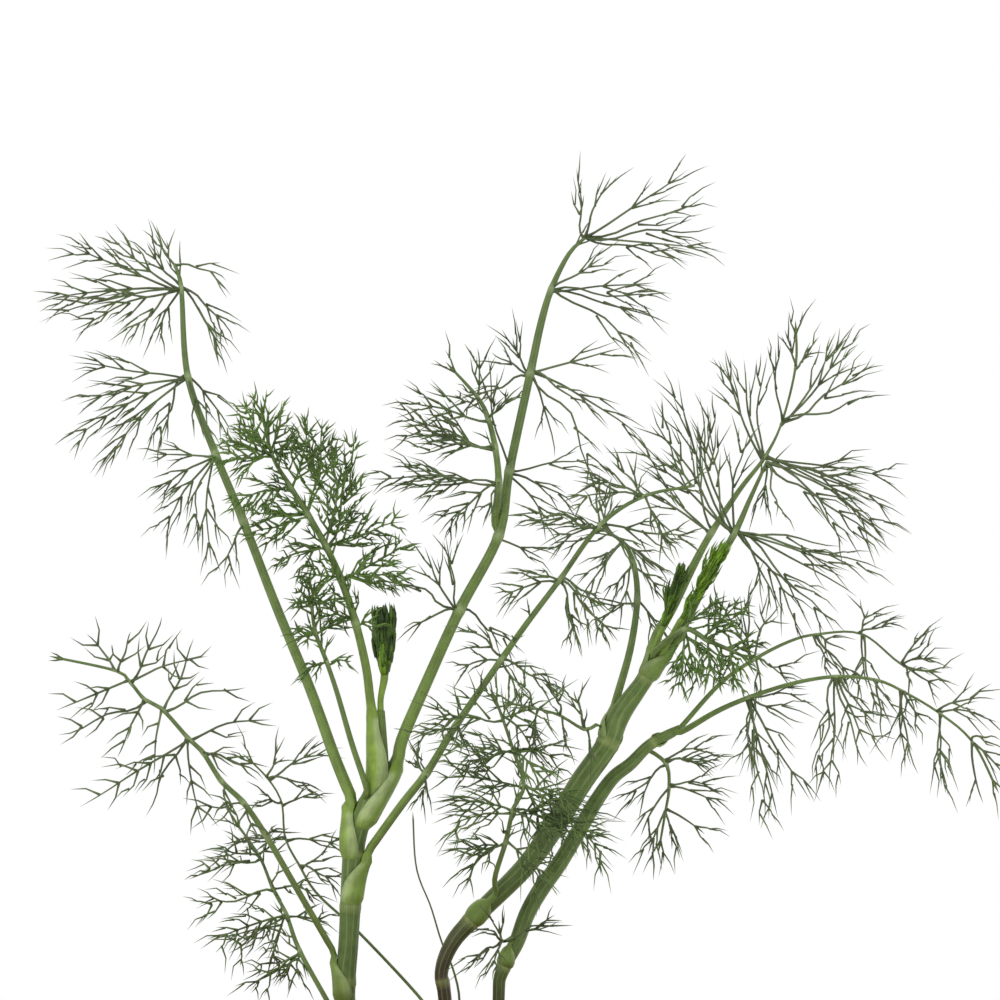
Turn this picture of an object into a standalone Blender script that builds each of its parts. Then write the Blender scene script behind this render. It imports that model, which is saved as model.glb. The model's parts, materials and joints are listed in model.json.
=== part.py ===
"""Potted dill: three dill plants in a plain clay pot.

The model stands on z = 0 with the pot's axis on the z axis, +Z up, in metres.  The sizes
below are in millimetres.  Plant places are given as (x, y, z) from the point where the
pot's axis meets the soil's surface: +X is to the right, -Y is to the front.
"""

import math
from dataclasses import dataclass, field

import bmesh
import bpy
import numpy as np
from mathutils import Vector

MM = 0.001

# pot
pot_height = 115.0
pot_top_radius = 60.0  # outside of the wall, just under the rim
pot_foot_radius = 43.0
pot_wall = 5.0
pot_floor = 6.0
rim_height = 24.0
rim_overhang = 4.0
rim_taper = 1.0  # how much narrower the rim is at its lower edge
rim_rounding = 1.5
drain_hole_radius = 4.5
drain_hole_count = 3
drain_hole_sides = 20
drain_circle_radius = 24.0
first_drain_hole = 0.25  # where the first hole stands, in gaps between two holes
turning_steps = 40

# soil
head_space = 17.0  # from the soil's edge up to the rim
soil_crown = 2.0  # how much higher the soil stands in the middle

# shoots
shoot_scale = 1.0  # stretches every plant place about the middle of the soil's surface
clearance = 0.3  # between two pieces that touch
stem_scale = 1.0  # thickness of the stems
leaf_scale = 1.0  # thickness of the leaf stalks
sheath_thickness = 0.5
sheath_wrap = 250.0  # degrees of the stem that a sheath goes round
sheath_margin_drop = 0.55  # how much lower its margins end than its back, as a share of its length
planting_depth = 16.0
straight_start = 3.0  # of a stalk above its sheath
bare_start = 2.0  # of a stalk that has no sheath
bud_start = 4.0  # of a furled leaf above the stem's end
ring_gap = 9.0  # most length of stalk between two rings of faces
stalk_taper = (1.0, 0.88, 0.7, 0.55)  # shares of the radius on the way to the tip
pinna_radius = 0.42
pinna_band = 1.5  # length of stalk that one ring of leaflets grows from
pinna_taper = ((0.3, 0.9), (0.68, 0.6))  # share of a leaflet's length, and of its radius there
pinna_bend = 0.45  # how far a leaflet leaves at right angles before it turns to its tip
stem_spacing = 4.0  # between two rings of a stem
bud_spacing = 3.0

GREEN = (0.13, 0.22, 0.05)
PALE_GREEN = (0.24, 0.36, 0.10)
DARK_GREEN = (0.05, 0.10, 0.02)


@dataclass
class Leaf:
    """One leaf: its sheath, its stalk through the places of route, and its leaflets.

    It grows from the parent piece at a height above the soil, on the side that heading
    gives in degrees from +X towards +Y.  pinnae gives the leaflets' tips by their place
    in route, which counts from 1.
    """

    name: str
    parent: str
    height: float
    heading: float
    sheath: float
    layer: int
    radius: float
    tip_radius: float
    route: list
    pinnae: dict = field(default_factory=dict)


# stems: places and radii from the buried foot to the top
STEMS = {
    "left_stem": (
        [(-21, 0, -16), (-21, 0, 22), (-20, 0, 39), (-19, 0, 58), (-18, 0, 68), (-15, 0, 76), (-12, 0, 83),
         (-11, 0, 88), (-11, 0, 96), (-11, 0, 103)],
        [2.7, 2.8, 2.8, 3.0, 3.1, 2.8, 2.4, 2.2, 1.7, 1.15],
    ),
    "middle_stem": (
        [(10, -2, -16), (7, -2, 22), (6, -2, 30), (9, -2, 38), (15, -2, 45), (29, -3, 59), (37, -3, 70),
         (45, -3, 83), (52, -2, 93), (56, -1, 102), (63, 0, 112), (68, 0, 122)],
        [1.9, 1.9, 1.9, 2.2, 2.5, 2.8, 3.1, 3.2, 3.3, 3.3, 3.1, 2.8],
    ),
    "right_stem": (
        [(22, 2, -16), (22, 2, 22), (23, 2, 30), (27, 3, 38), (30, 4, 46), (34, 5, 53), (39, 5, 60),
         (45, 5, 70), (49, 5, 77), (54, 5, 84), (59, 5, 88), (64, 5, 93), (69, 5, 96), (73, 5, 98)],
        [1.7, 1.7, 1.9, 2.2, 2.3, 2.4, 2.3, 2.3, 2.2, 2.1, 2.1, 2.0, 1.9, 1.8],
    ),
}

# furled young leaves: parent, height, heading, then places and radii of stalk and blade
BUDS = {
    "left_bud": (
        "left_stem", None, 0, 0,
        [(-10, 0, 112), (-10, 0, 116), (-10, 0, 122), (-10, 0, 128), (-11, 0, 133)],
        [0.9, 0.85, 1.1, 2.6, 3.3, 3.2, 0.8],
    ),
    "middle_bud_dark": (
        "middle_stem", 118, 195, 2,
        [(69, 1, 129), (71, 1, 136), (73, 1, 141), (74, 1, 145)],
        [0.8, 1.0, 2.2, 1.6, 0.4],
    ),
    "middle_bud_bright": (
        "middle_stem", 118, 310, 2,
        [(76, -9, 134), (79, -11, 139), (82, -12, 145), (84, -12, 148), (86, -12, 151)],
        [0.8, 1.0, 1.7, 1.9, 1.5, 0.4],
    ),
}

LEAVES = [
    Leaf(
        "left_leaf_base", "left_stem", height=9, heading=160, sheath=7, layer=0,
        radius=0.8, tip_radius=0.35,
        route=[
            (-34, 14, 35), (-38, 22, 45), (-42, 28, 52), (-46, 33, 61), (-54, 38, 72),
        ],
        pinnae={
            1: [(-50, 20, 23), (-34, 8, 27), (-40, 26, 26)],
            2: [(-26, 30, 42), (-60, 18, 37), (-55, 36, 33), (-44, 40, 26)],
            3: [(-64, 32, 46), (-30, 36, 51)],
            4: [(-64, 44, 56), (-59, 26, 63), (-41, 38, 65)],
        },
    ),
    Leaf(
        "left_leaf_low", "left_stem", height=21, heading=190, sheath=11, layer=0,
        radius=0.95, tip_radius=0.35,
        route=[
            (-34, -8, 53), (-43, -14, 69), (-49, -18, 78), (-55, -20, 84), (-60, -23, 92),
            (-64, -25, 96), (-71, -28, 104), (-76, -30, 107), (-80, -33, 112), (-84, -35, 115),
            (-102, -38, 119),
        ],
        pinnae={
            2: [(-55, -8, 66), (-36, -22, 71)],
            3: [(-63, -14, 76), (-44, -26, 67)],
            4: [(-53, -26, 76)],
            5: [(-43, -18, 84), (-51, -30, 88)],
            6: [(-41, -20, 101), (-94, -32, 77), (-59, -30, 70), (-76, -22, 74)],
            7: [(-48, -24, 110), (-62, -36, 124), (-73, -38, 86)],
            8: [(-100, -28, 97), (-83, -40, 91)],
            9: [(-71, -30, 130), (-58, -42, 119), (-100, -40, 104)],
            10: [(-79, -44, 126), (-92, -30, 125)],
        },
    ),
    Leaf(
        "left_leaf_front", "left_stem", height=48, heading=-20, sheath=13, layer=0,
        radius=1.3, tip_radius=0.35,
        route=[
            (-5, -8, 77), (2, -10, 86), (10, -14, 99), (23, -19, 118), (30, -23, 128),
            (39, -27, 140), (50, -32, 155), (62, -36, 163), (76, -40, 166),
        ],
        pinnae={
            2: [(-2, -4, 90), (0, -14, 78)],
            3: [(-3, -20, 95), (14, -24, 93)],
            4: [(10, -12, 114), (28, -21, 105), (39, -26, 109), (13, -26, 128)],
            6: [(21, -20, 133), (28, -34, 142), (43, -20, 121), (54, -34, 123), (50, -22, 134)],
            7: [(26, -26, 155), (36, -38, 149), (50, -28, 170), (78, -28, 151), (66, -40, 142)],
            8: [(42, -30, 161), (44, -44, 168), (54, -34, 172), (69, -46, 148)],
            9: [(69, -36, 173)],
        },
    ),
    Leaf(
        "left_leaf_tall", "left_stem", height=61, heading=170, sheath=13, layer=0,
        radius=1.8, tip_radius=0.4,
        route=[
            (-24, 4, 90), (-31, 9, 109), (-41, 14, 133), (-50, 18, 156), (-58, 22, 175),
            (-66, 27, 197), (-68, 31, 222), (-70, 33, 229),
        ],
        pinnae={
            4: [(-55, 8, 142)],
            5: [(-77, 32, 175), (-76, 14, 163), (-74, 28, 152), (-64, 12, 151), (-59, 24, 143)],
            6: [
                (-99, 34, 201), (-97, 20, 189), (-101, 34, 178), (-91, 24, 170), (-54, 38, 181),
                (-61, 20, 179), (-76, 34, 176),
            ],
            7: [
                (-101, 30, 235), (-90, 40, 239), (-109, 32, 218), (-108, 20, 212), (-100, 42, 210),
                (-85, 26, 205), (-76, 38, 206), (-53, 24, 207), (-56, 38, 201), (-78, 36, 235),
            ],
            8: [(-76, 42, 238), (-55, 26, 224)],
        },
    ),
    Leaf(
        "left_leaf_young", "left_stem", height=78, heading=235, sheath=0, layer=2,
        radius=0.95, tip_radius=0.3,
        route=[
            (-19, -6, 94), (-23, -8, 108), (-26, -10, 117), (-29, -11, 125), (-30, -12, 133),
            (-29, -12, 140),
        ],
        pinnae={
            3: [(-19, -4, 117), (-34, -16, 113)],
            4: [(-35, -16, 126), (-21, -6, 128), (-36, -8, 122)],
            5: [(-35, -6, 135), (-21, -16, 135), (-34, -18, 138)],
        },
    ),
    Leaf(
        "centre_leaf_tall", "left_stem", height=70, heading=15, sheath=18, layer=1,
        radius=1.9, tip_radius=0.4,
        route=[
            (-5, 4, 95), (1, 8, 109), (11, 14, 131), (22, 20, 152), (25, 23, 170), (31, 28, 198),
            (34, 31, 212), (37, 34, 222), (42, 37, 232), (47, 39, 237),
        ],
        pinnae={
            3: [(1, 20, 149), (9, 8, 149), (-13, 14, 141), (-7, 6, 122), (28, 20, 119)],
            4: [(35, 26, 145)],
            5: [(36, 32, 156), (43, 18, 161), (50, 28, 174), (19, 14, 203)],
            6: [
                (14, 30, 189), (26, 26, 208), (20, 38, 204), (57, 22, 205), (38, 38, 174),
                (50, 30, 168), (63, 36, 179), (46, 20, 187),
            ],
            8: [(67, 42, 224), (71, 30, 218), (71, 46, 212), (66, 36, 201), (52, 30, 231)],
            10: [
                (46, 46, 254), (54, 34, 254), (76, 36, 256), (81, 48, 249), (84, 38, 240),
                (85, 32, 233), (75, 46, 231),
            ],
        },
    ),
    Leaf(
        "centre_leaf_fork", "centre_leaf_tall", height=153, heading=180, sheath=0, layer=0,
        radius=1.2, tip_radius=0.3,
        route=[
            (22, 16, 167), (21, 15, 177), (19, 14, 185), (16, 13, 191), (7, 12, 201),
        ],
        pinnae={
            1: [(-15, 8, 168), (-6, 22, 164), (5, 10, 152), (19, 4, 157)],
            2: [(-7, 22, 187), (-5, 6, 182), (-2, 14, 175)],
            3: [(-6, 14, 191), (26, 6, 191)],
            4: [(11, 4, 189), (16, 20, 205)],
        },
    ),
    Leaf(
        "left_leaf_dense", "left_stem", height=79, heading=190, sheath=23, layer=0,
        radius=1.35, tip_radius=0.3,
        route=[
            (-15, -4, 115), (-18, -8, 128), (-22, -11, 140), (-26, -14, 149), (-31, -17, 158),
            (-36, -20, 166), (-41, -23, 175), (-44, -27, 190),
        ],
        pinnae={
            2: [(-12, -8, 128), (-28, -16, 134)],
            3: [(-2, -4, 150), (-2, -20, 141), (-34, -20, 142)],
            4: [(-4, -8, 156), (-19, -14, 183), (-41, -24, 145), (-25, -26, 179)],
            5: [(-49, -26, 152), (-48, -12, 158), (-27, -10, 185)],
            6: [(-31, -26, 186), (-54, -30, 161)],
            7: [(-59, -34, 172), (-55, -20, 180), (-32, -12, 176), (-49, -34, 189), (-38, -20, 190)],
        },
    ),
    Leaf(
        "middle_stalk_thin", "middle_stem", height=8, heading=50, sheath=0, layer=0,
        radius=0.4, tip_radius=0.25,
        route=[
            (11, 6, 22), (9, 6, 31), (6, 6, 38), (3, 3, 48), (-1, 0, 59), (-2, -4, 75),
        ],
        pinnae={},
    ),
    Leaf(
        "middle_leaf_back", "middle_stem", height=12, heading=140, sheath=0, layer=0,
        radius=0.5, tip_radius=0.25,
        route=[
            (0, 9, 22), (-17, 12, 40), (-29, 14, 51), (-34, 13, 59), (-38, 11, 67), (-39, 9, 77),
            (-43, 7, 84), (-50, 6, 91),
        ],
        pinnae={
            4: [(-26, 18, 63), (-22, 6, 53)],
            5: [(-22, 16, 64), (-49, 4, 65)],
            6: [(-31, 14, 79), (-46, 2, 78)],
            7: [(-28, 10, 92), (-27, 2, 80), (-40, 0, 90)],
        },
    ),
    Leaf(
        "middle_leaf_low", "middle_stem", height=44, heading=255, sheath=8, layer=0,
        radius=0.85, tip_radius=0.35,
        route=[
            (21, -12, 57), (24, -18, 67), (26, -22, 76), (29, -25, 83), (26, -29, 93),
            (23, -32, 102), (20, -34, 110),
        ],
        pinnae={
            2: [(11, -22, 64), (13, -12, 58), (35, -14, 54)],
            3: [(8, -28, 72), (10, -14, 78), (50, -24, 68), (39, -32, 67)],
            4: [(8, -32, 86), (44, -30, 79), (54, -26, 60), (34, -16, 65)],
            5: [(8, -36, 95), (11, -24, 87), (39, -28, 90), (34, -40, 85)],
            6: [(3, -34, 102), (36, -40, 105), (31, -28, 94)],
        },
    ),
    Leaf(
        "middle_leaf_inner", "middle_stem", height=95, heading=200, sheath=0, layer=1,
        radius=0.6, tip_radius=0.3,
        route=[
            (46, -8, 98), (39, -11, 102), (32, -13, 104), (22, -15, 106),
        ],
        pinnae={
            1: [(48, -12, 90), (43, -6, 109)],
            2: [(41, -16, 92), (37, -16, 112)],
            3: [(31, -8, 95), (28, -8, 112)],
        },
    ),
    Leaf(
        "middle_leaf_upright", "middle_stem", height=94, heading=130, sheath=8, layer=0,
        radius=1.25, tip_radius=0.35,
        route=[
            (59, 9, 120), (61, 11, 134), (60, 13, 144), (57, 14, 150), (51, 15, 154),
        ],
        pinnae={
            2: [(52, 10, 131), (68, 16, 123)],
            3: [(68, 20, 136), (54, 20, 136), (58, 6, 132)],
            4: [(67, 8, 142), (50, 6, 145), (45, 18, 134)],
            5: [(36, 20, 149), (43, 10, 156), (52, 18, 162)],
        },
    ),
    Leaf(
        "middle_leaf_umbrella", "middle_stem", height=112, heading=140, sheath=8, layer=0,
        radius=1.35, tip_radius=0.35,
        route=[
            (71, 7, 132), (77, 10, 144), (82, 12, 153), (90, 15, 165), (97, 17, 174),
            (102, 20, 184), (106, 23, 200), (106, 25, 213),
        ],
        pinnae={
            3: [(66, 20, 170), (62, 10, 165), (78, 16, 179)],
            5: [
                (86, 26, 204), (91, 12, 202), (98, 22, 203), (137, 28, 168), (134, 14, 160),
                (125, 24, 165), (129, 34, 159), (135, 22, 151),
            ],
            6: [(117, 24, 207), (123, 34, 212), (128, 28, 203), (128, 18, 191), (100, 14, 205)],
            7: [(110, 30, 204), (104, 18, 208)],
        },
    ),
    Leaf(
        "middle_leaf_right", "middle_stem", height=112, heading=-30, sheath=8, layer=1,
        radius=1.2, tip_radius=0.4,
        route=[
            (80, -5, 139), (88, -8, 153), (92, -9, 162), (97, -10, 173),
        ],
        pinnae={
            2: [
                (72, -14, 196), (78, -4, 192), (81, -20, 188), (92, -8, 182), (64, -22, 189),
                (59, -10, 179), (130, -16, 142), (118, -4, 149), (120, -24, 142), (122, -12, 135),
                (116, -20, 124), (108, -4, 123), (100, -14, 130),
            ],
            4: [(99, -20, 157), (95, -2, 159), (123, -12, 166), (130, -22, 147), (120, -4, 150)],
        },
    ),
    Leaf(
        "middle_leaf_dense", "middle_stem", height=117, heading=250, sheath=0, layer=2,
        radius=1.0, tip_radius=0.3,
        route=[
            (74, -11, 126), (80, -14, 123), (87, -17, 120), (93, -19, 117),
        ],
        pinnae={
            1: [(85, -18, 134), (78, -10, 109), (72, -16, 108)],
            2: [(90, -12, 134), (90, -22, 125), (83, -20, 110)],
            3: [(95, -14, 123), (89, -24, 109), (85, -10, 114)],
        },
    ),
    Leaf(
        "right_leaf_small", "right_stem", height=31, heading=235, sheath=6, layer=0,
        radius=0.6, tip_radius=0.3,
        route=[
            (23, -8, 39), (22, -10, 45),
        ],
        pinnae={
            1: [(39, -16, 45), (18, -14, 43), (13, -12, 33), (20, -18, 32)],
        },
    ),
    Leaf(
        "right_leaf_hanging", "right_stem", height=90, heading=100, sheath=0, layer=0,
        radius=0.7, tip_radius=0.3,
        route=[
            (69, 10, 88), (70, 13, 81), (69, 16, 74), (67, 18, 62),
        ],
        pinnae={
            1: [(82, 16, 92), (83, 4, 88), (84, 20, 86), (57, 6, 77)],
            2: [(83, 10, 82), (85, 22, 75), (62, 16, 67)],
            3: [(80, 10, 68), (64, 12, 62), (71, 24, 63)],
        },
    ),
    Leaf(
        "right_leaf_upper", "right_stem", height=94, heading=60, sheath=4, layer=0,
        radius=1.05, tip_radius=0.35,
        route=[
            (84, 12, 110), (94, 17, 117), (104, 21, 122), (112, 24, 124), (125, 28, 124),
            (137, 31, 115), (148, 33, 113),
        ],
        pinnae={
            2: [
                (94, 26, 140), (90, 12, 135), (85, 22, 133), (102, 30, 133), (106, 26, 114),
                (96, 14, 105),
            ],
            4: [(117, 30, 114), (125, 22, 109), (121, 34, 119)],
            5: [(134, 22, 126), (127, 34, 131), (127, 34, 108), (129, 24, 102)],
            6: [(143, 40, 124), (143, 26, 118), (148, 38, 108), (139, 22, 109)],
        },
    ),
    Leaf(
        "right_leaf_lower", "right_stem", height=97, heading=-40, sheath=0, layer=1,
        radius=1.2, tip_radius=0.35,
        route=[
            (83, -6, 103), (92, -10, 107), (104, -15, 111), (116, -20, 113), (127, -24, 112),
            (134, -27, 109), (144, -31, 103), (153, -34, 95), (160, -37, 81),
        ],
        pinnae={
            2: [
                (100, -8, 73), (96, -18, 72), (109, -14, 78), (91, -18, 86), (90, -4, 94),
                (107, -22, 100), (109, -8, 108),
            ],
            4: [(109, -26, 84), (114, -14, 81), (124, -32, 88), (125, -20, 93), (127, -30, 100)],
            5: [(131, -32, 106), (129, -18, 95)],
            6: [(135, -22, 89), (138, -34, 86), (140, -38, 100)],
            7: [(159, -38, 107), (157, -26, 102), (146, -38, 80), (145, -26, 87)],
            8: [(160, -44, 96), (156, -32, 78), (162, -40, 85)],
        },
    ),
]

POT_CLAY = (0.56, 0.26, 0.15)
SOIL_BROWN = (0.06, 0.04, 0.03)


def clear_scene():
    for old in list(bpy.data.objects):
        bpy.data.objects.remove(old, do_unlink=True)


def new_collection(name):
    collection = bpy.data.collections.new(name)
    bpy.context.scene.collection.children.link(collection)
    return collection


def new_material(name, colour, roughness):
    material = bpy.data.materials.new(name)
    material.use_nodes = True
    shader = material.node_tree.nodes["Principled BSDF"]
    shader.inputs["Base Color"].default_value = (*colour, 1.0)
    shader.inputs["Roughness"].default_value = roughness
    shader.inputs["Metallic"].default_value = 0.0
    return material


def add_object(name, data, collection, material=None):
    piece = bpy.data.objects.new(name, data)
    collection.objects.link(piece)
    if material:
        data.materials.append(material)
    return piece


def mesh_from(bm, name):
    bmesh.ops.recalc_face_normals(bm, faces=bm.faces)
    mesh = bpy.data.meshes.new(name)
    bm.to_mesh(mesh)
    bm.free()
    return mesh


def soil_level():
    return pot_height - head_space


def placed(place):
    """A plant place in the model's own metres."""
    x, y, z = (shoot_scale * value for value in place)
    return Vector((x, y, z + soil_level())) * MM


def through(points, samples=12):
    """A smooth curve through points, as an array with this many samples a span."""
    p = np.array([tuple(point) for point in points], float)
    p = np.vstack([2 * p[0] - p[1], p, 2 * p[-1] - p[-2]])
    t = np.linspace(0, 1, samples, endpoint=False)[:, None]
    spans = []
    for a, b, c, d in zip(p, p[1:], p[2:], p[3:]):
        spans.append(
            0.5 * (2 * b + (c - a) * t + (2 * a - 5 * b + 4 * c - d) * t**2 + (3 * b - a - 3 * c + d) * t**3)
        )
    return np.vstack([*spans, p[-2]])


class Path:
    """A smooth curve with a radius along it, read by distance from its start."""

    def __init__(self, points, radii, samples=12):
        self.samples = samples
        self.places = through(points, samples)
        steps = np.linalg.norm(np.diff(self.places, axis=0), axis=1)
        self.distance = np.concatenate([[0], np.cumsum(steps)])
        marks = np.linspace(0, len(points) - 1, len(radii))
        self.radii = np.interp(np.linspace(0, len(points) - 1, len(self.places)), marks, radii)
        self.length = self.distance[-1]

    def at_point(self, index):
        return self.distance[index * self.samples]

    def at_height(self, height):
        return float(np.interp(placed((0, 0, height)).z, self.places[:, 2], self.distance))

    def inner_place(self, s):
        return Vector([float(np.interp(s, self.distance, self.places[:, k])) for k in range(3)])

    def place(self, s):
        """The place at a distance, straight on past either end."""
        inside = min(max(s, 0.0), self.length)
        return self.inner_place(inside) + self.tangent(inside) * (s - inside)

    def nearest(self, place):
        """How far along the curve it comes nearest to a place."""
        return float(self.distance[np.argmin(np.linalg.norm(self.places - np.array(place), axis=1))])

    def radius(self, s):
        return float(np.interp(s, self.distance, self.radii))

    def tangent(self, s):
        step = 0.5 * MM
        middle = min(max(s, step), self.length - step)
        return (self.inner_place(middle + step) - self.inner_place(middle - step)).normalized()

    def outward(self, s, heading):
        """The direction square to the curve that points most nearly along the heading."""
        angle = math.radians(heading)
        tangent = self.tangent(s)
        flat = Vector((math.cos(angle), math.sin(angle), 0))
        return (flat - tangent * flat.dot(tangent)).normalized()


def tube(name, path, collection, material, extra=0.0, spacing=stem_spacing, resolution=4):
    """A round stem along a path: a poly curve with a bevel and filled caps.

    extra widens it all round and lengthens it at its foot, for a hole that it stands in.
    """
    curve = bpy.data.curves.new(name, "CURVE")
    curve.dimensions = "3D"
    curve.bevel_depth = 1.0
    curve.bevel_resolution = resolution
    curve.use_fill_caps = True
    count = max(3, round(path.length / (spacing * MM)) + 1)
    spline = curve.splines.new("POLY")
    spline.points.add(count - 1)
    stations = np.linspace(0, path.length, count)
    stations[0] -= extra * MM
    for point, s in zip(spline.points, stations):
        point.co = (*path.place(s), 1.0)
        point.radius = path.radius(s) + extra * MM
    return add_object(name, curve, collection, material)


def as_mesh(curve_object, collection):
    """The mesh of a curve object, with its caps joined on, in place of the curve."""
    bpy.context.view_layer.update()
    evaluated = curve_object.evaluated_get(bpy.context.evaluated_depsgraph_get())
    mesh = bpy.data.meshes.new_from_object(evaluated)
    bm = bmesh.new()
    bm.from_mesh(mesh)
    bmesh.ops.remove_doubles(bm, verts=bm.verts, dist=0.00001)
    bm.to_mesh(mesh)
    bm.free()
    name = curve_object.name
    place = curve_object.matrix_world.copy()
    bpy.data.objects.remove(curve_object, do_unlink=True)
    piece = add_object(name, mesh, collection)
    piece.matrix_world = place
    return piece


def turned(name, outline, collection, material):
    """A turned solid: the outline, as (radius, height) in mm, run round the z axis."""
    mesh = bpy.data.meshes.new(name)
    points = [(radius * MM, 0.0, height * MM) for radius, height in outline]
    mesh.from_pydata(points, [(i, i + 1) for i in range(len(points) - 1)], [])
    piece = add_object(name, mesh, collection, material)
    screw = piece.modifiers.new("turning", "SCREW")
    screw.axis = "Z"
    screw.steps = turning_steps
    screw.render_steps = turning_steps
    screw.use_merge_vertices = True
    screw.merge_threshold = 0.00001
    screw.use_smooth_shade = True
    return piece


def cut(piece, cutter):
    cutter.hide_render = True
    cutter.display_type = "WIRE"
    boolean = piece.modifiers.new("cut by " + cutter.name, "BOOLEAN")
    boolean.operation = "DIFFERENCE"
    boolean.solver = "EXACT"
    boolean.object = cutter


def wall_radius(height):
    """The outer radius of the pot's wall at a height."""
    return pot_foot_radius + (pot_top_radius - pot_foot_radius) * height / pot_height


def make_pot(parts, cutters):
    rim_radius = pot_top_radius + rim_overhang
    rim_bottom = pot_height - rim_height
    corner = rim_rounding
    outline = [
        (0, pot_floor),
        (wall_radius(pot_floor) - pot_wall, pot_floor),
        (pot_top_radius - pot_wall, pot_height - corner),
        (pot_top_radius - pot_wall + corner, pot_height),
        (rim_radius - corner, pot_height),
        (rim_radius, pot_height - corner),
        (rim_radius - rim_taper, rim_bottom + corner),
        (rim_radius - rim_taper - corner, rim_bottom),
        (wall_radius(rim_bottom), rim_bottom - corner),
        (wall_radius(corner), corner),
        (wall_radius(0) - corner, 0),
        (0, 0),
    ]
    pot = turned("pot", outline, parts, new_material("pot clay", POT_CLAY, 0.85))
    for number in range(drain_hole_count):
        angle = 2 * math.pi * (number + first_drain_hole) / drain_hole_count
        bm = bmesh.new()
        bmesh.ops.create_cone(
            bm, cap_ends=True, segments=drain_hole_sides, radius1=drain_hole_radius * MM,
            radius2=drain_hole_radius * MM, depth=3 * pot_floor * MM,
        )
        cutter = add_object(f"drain hole {number + 1}", mesh_from(bm, "drain hole"), cutters)
        cutter.location = (
            drain_circle_radius * math.cos(angle) * MM,
            drain_circle_radius * math.sin(angle) * MM,
            pot_floor / 2 * MM,
        )
        cut(pot, cutter)


def make_soil(parts, cutters, stem_paths):
    bottom = pot_floor + clearance
    level = soil_level()
    slope = (pot_top_radius - wall_radius(pot_floor)) / (pot_height - rim_rounding - pot_floor)

    def inside(height):
        return wall_radius(pot_floor) - pot_wall + slope * (height - pot_floor) - clearance

    outline = [
        (0, level + soil_crown),
        (inside(level) * 0.55, level + soil_crown * 0.6),
        (inside(level), level),
        (inside(bottom), bottom),
        (0, bottom),
    ]
    soil = turned("soil", outline, parts, new_material("potting soil", SOIL_BROWN, 0.95))
    for name, path in stem_paths.items():
        hole = tube(name + " hole", path, cutters, None, extra=clearance)
        cut(soil, as_mesh(hole, cutters))


def even_ring(face):
    """For each corner of a face, its direction angle from the middle, evened out."""
    centre = face.calc_center_median()
    normal = face.normal.copy()
    across = (face.verts[0].co - centre).normalized()
    up = normal.cross(across)
    count = len(face.verts)
    turns = []
    for number, vert in enumerate(face.verts):
        arm = vert.co - centre
        angle = math.atan2(arm.dot(up), arm.dot(across))
        turns.append((angle - 2 * math.pi * number / count + math.pi) % (2 * math.pi) - math.pi)
    start = sum(turns) / count
    return across, up, [start + 2 * math.pi * number / count for number in range(count)]


class Shoot:
    """Grows a closed tube out of a face, ring by ring, by extruding that face."""

    def __init__(self, bm, face):
        self.bm = bm
        self.face = face
        self.across, self.up, self.angles = even_ring(face)
        self.direction = face.normal.copy()

    def ring(self, place, direction, radius):
        """Extrudes to a new ring, and returns the side faces made on the way."""
        turn = self.direction.rotation_difference(direction)
        self.across.rotate(turn)
        self.up.rotate(turn)
        self.direction = direction
        made = bmesh.ops.extrude_discrete_faces(self.bm, faces=[self.face])
        self.face = made["faces"][0]
        for vert, angle in zip(self.face.verts, self.angles):
            arm = self.across * math.cos(angle) + self.up * math.sin(angle)
            vert.co = place + arm * radius
        sides = {side for edge in self.face.edges for side in edge.link_faces if side != self.face}
        return sorted(sides, key=lambda side: side.index)

    def point(self, place):
        """Closes the tube in a point."""
        made = bmesh.ops.poke(self.bm, faces=[self.face])
        made["verts"][0].co = place


def start_cone(bm, place, direction, radius):
    """A short six-sided start for a stalk that has no sheath; returns its upper face."""
    bmesh.ops.create_cone(bm, cap_ends=True, segments=6, radius1=radius, radius2=radius, depth=0.4 * MM)
    turn = Vector((0, 0, 1)).rotation_difference(direction)
    for vert in bm.verts:
        vert.co.rotate(turn)
        vert.co += place
    bm.normal_update()
    return max(bm.faces, key=lambda face: (len(face.verts) == 6) * (1 + face.normal.dot(direction)))


def start_sheath(bm, leaf, parent):
    """The sheath round the parent; returns the upper face that the stalk grows from."""
    columns, rows = 8, 4
    start = parent.at_height(leaf.height)
    length = leaf.sheath * shoot_scale * MM
    step = (sheath_thickness + clearance) * MM
    inner = clearance * MM + leaf.layer * step
    bmesh.ops.create_grid(bm, x_segments=columns, y_segments=rows, size=1.0)
    half_wrap = math.radians(sheath_wrap / 2)
    flatness = math.cos(half_wrap / columns)  # keeps the gap at the middle of each flat face too
    for vert in bm.verts:
        turn = vert.co.x
        up = (vert.co.y + 1) / 2
        s = start + length * up * (1 - sheath_margin_drop * abs(turn) ** 1.5)
        middle = parent.place(s)
        out = parent.outward(s, leaf.heading)
        side = parent.tangent(s).cross(out)
        angle = turn * half_wrap
        radius = (parent.radius(s) + inner) / flatness
        vert.co = middle + (out * math.cos(angle) + side * math.sin(angle)) * radius
    skin = bmesh.ops.extrude_face_region(bm, geom=list(bm.faces), use_keep_orig=True)
    for vert in (item for item in skin["geom"] if isinstance(item, bmesh.types.BMVert)):
        s = parent.nearest(vert.co)
        tangent = parent.tangent(s)
        arm = vert.co - parent.place(s)
        vert.co += (arm - tangent * arm.dot(tangent)).normalized() * sheath_thickness * MM
    bmesh.ops.recalc_face_normals(bm, faces=bm.faces)
    bm.normal_update()
    top = start + length
    radius = parent.radius(top) + inner + sheath_thickness / 2 * MM
    back = parent.place(top) + parent.outward(top, leaf.heading) * radius
    tangent = parent.tangent(top)
    rims = sorted(
        (face for face in bm.faces if face.normal.dot(tangent) > 0.5),
        key=lambda face: (face.calc_center_median() - back).length,
    )
    joined = bmesh.utils.face_join(rims[:2])
    bm.normal_update()
    return joined


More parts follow.
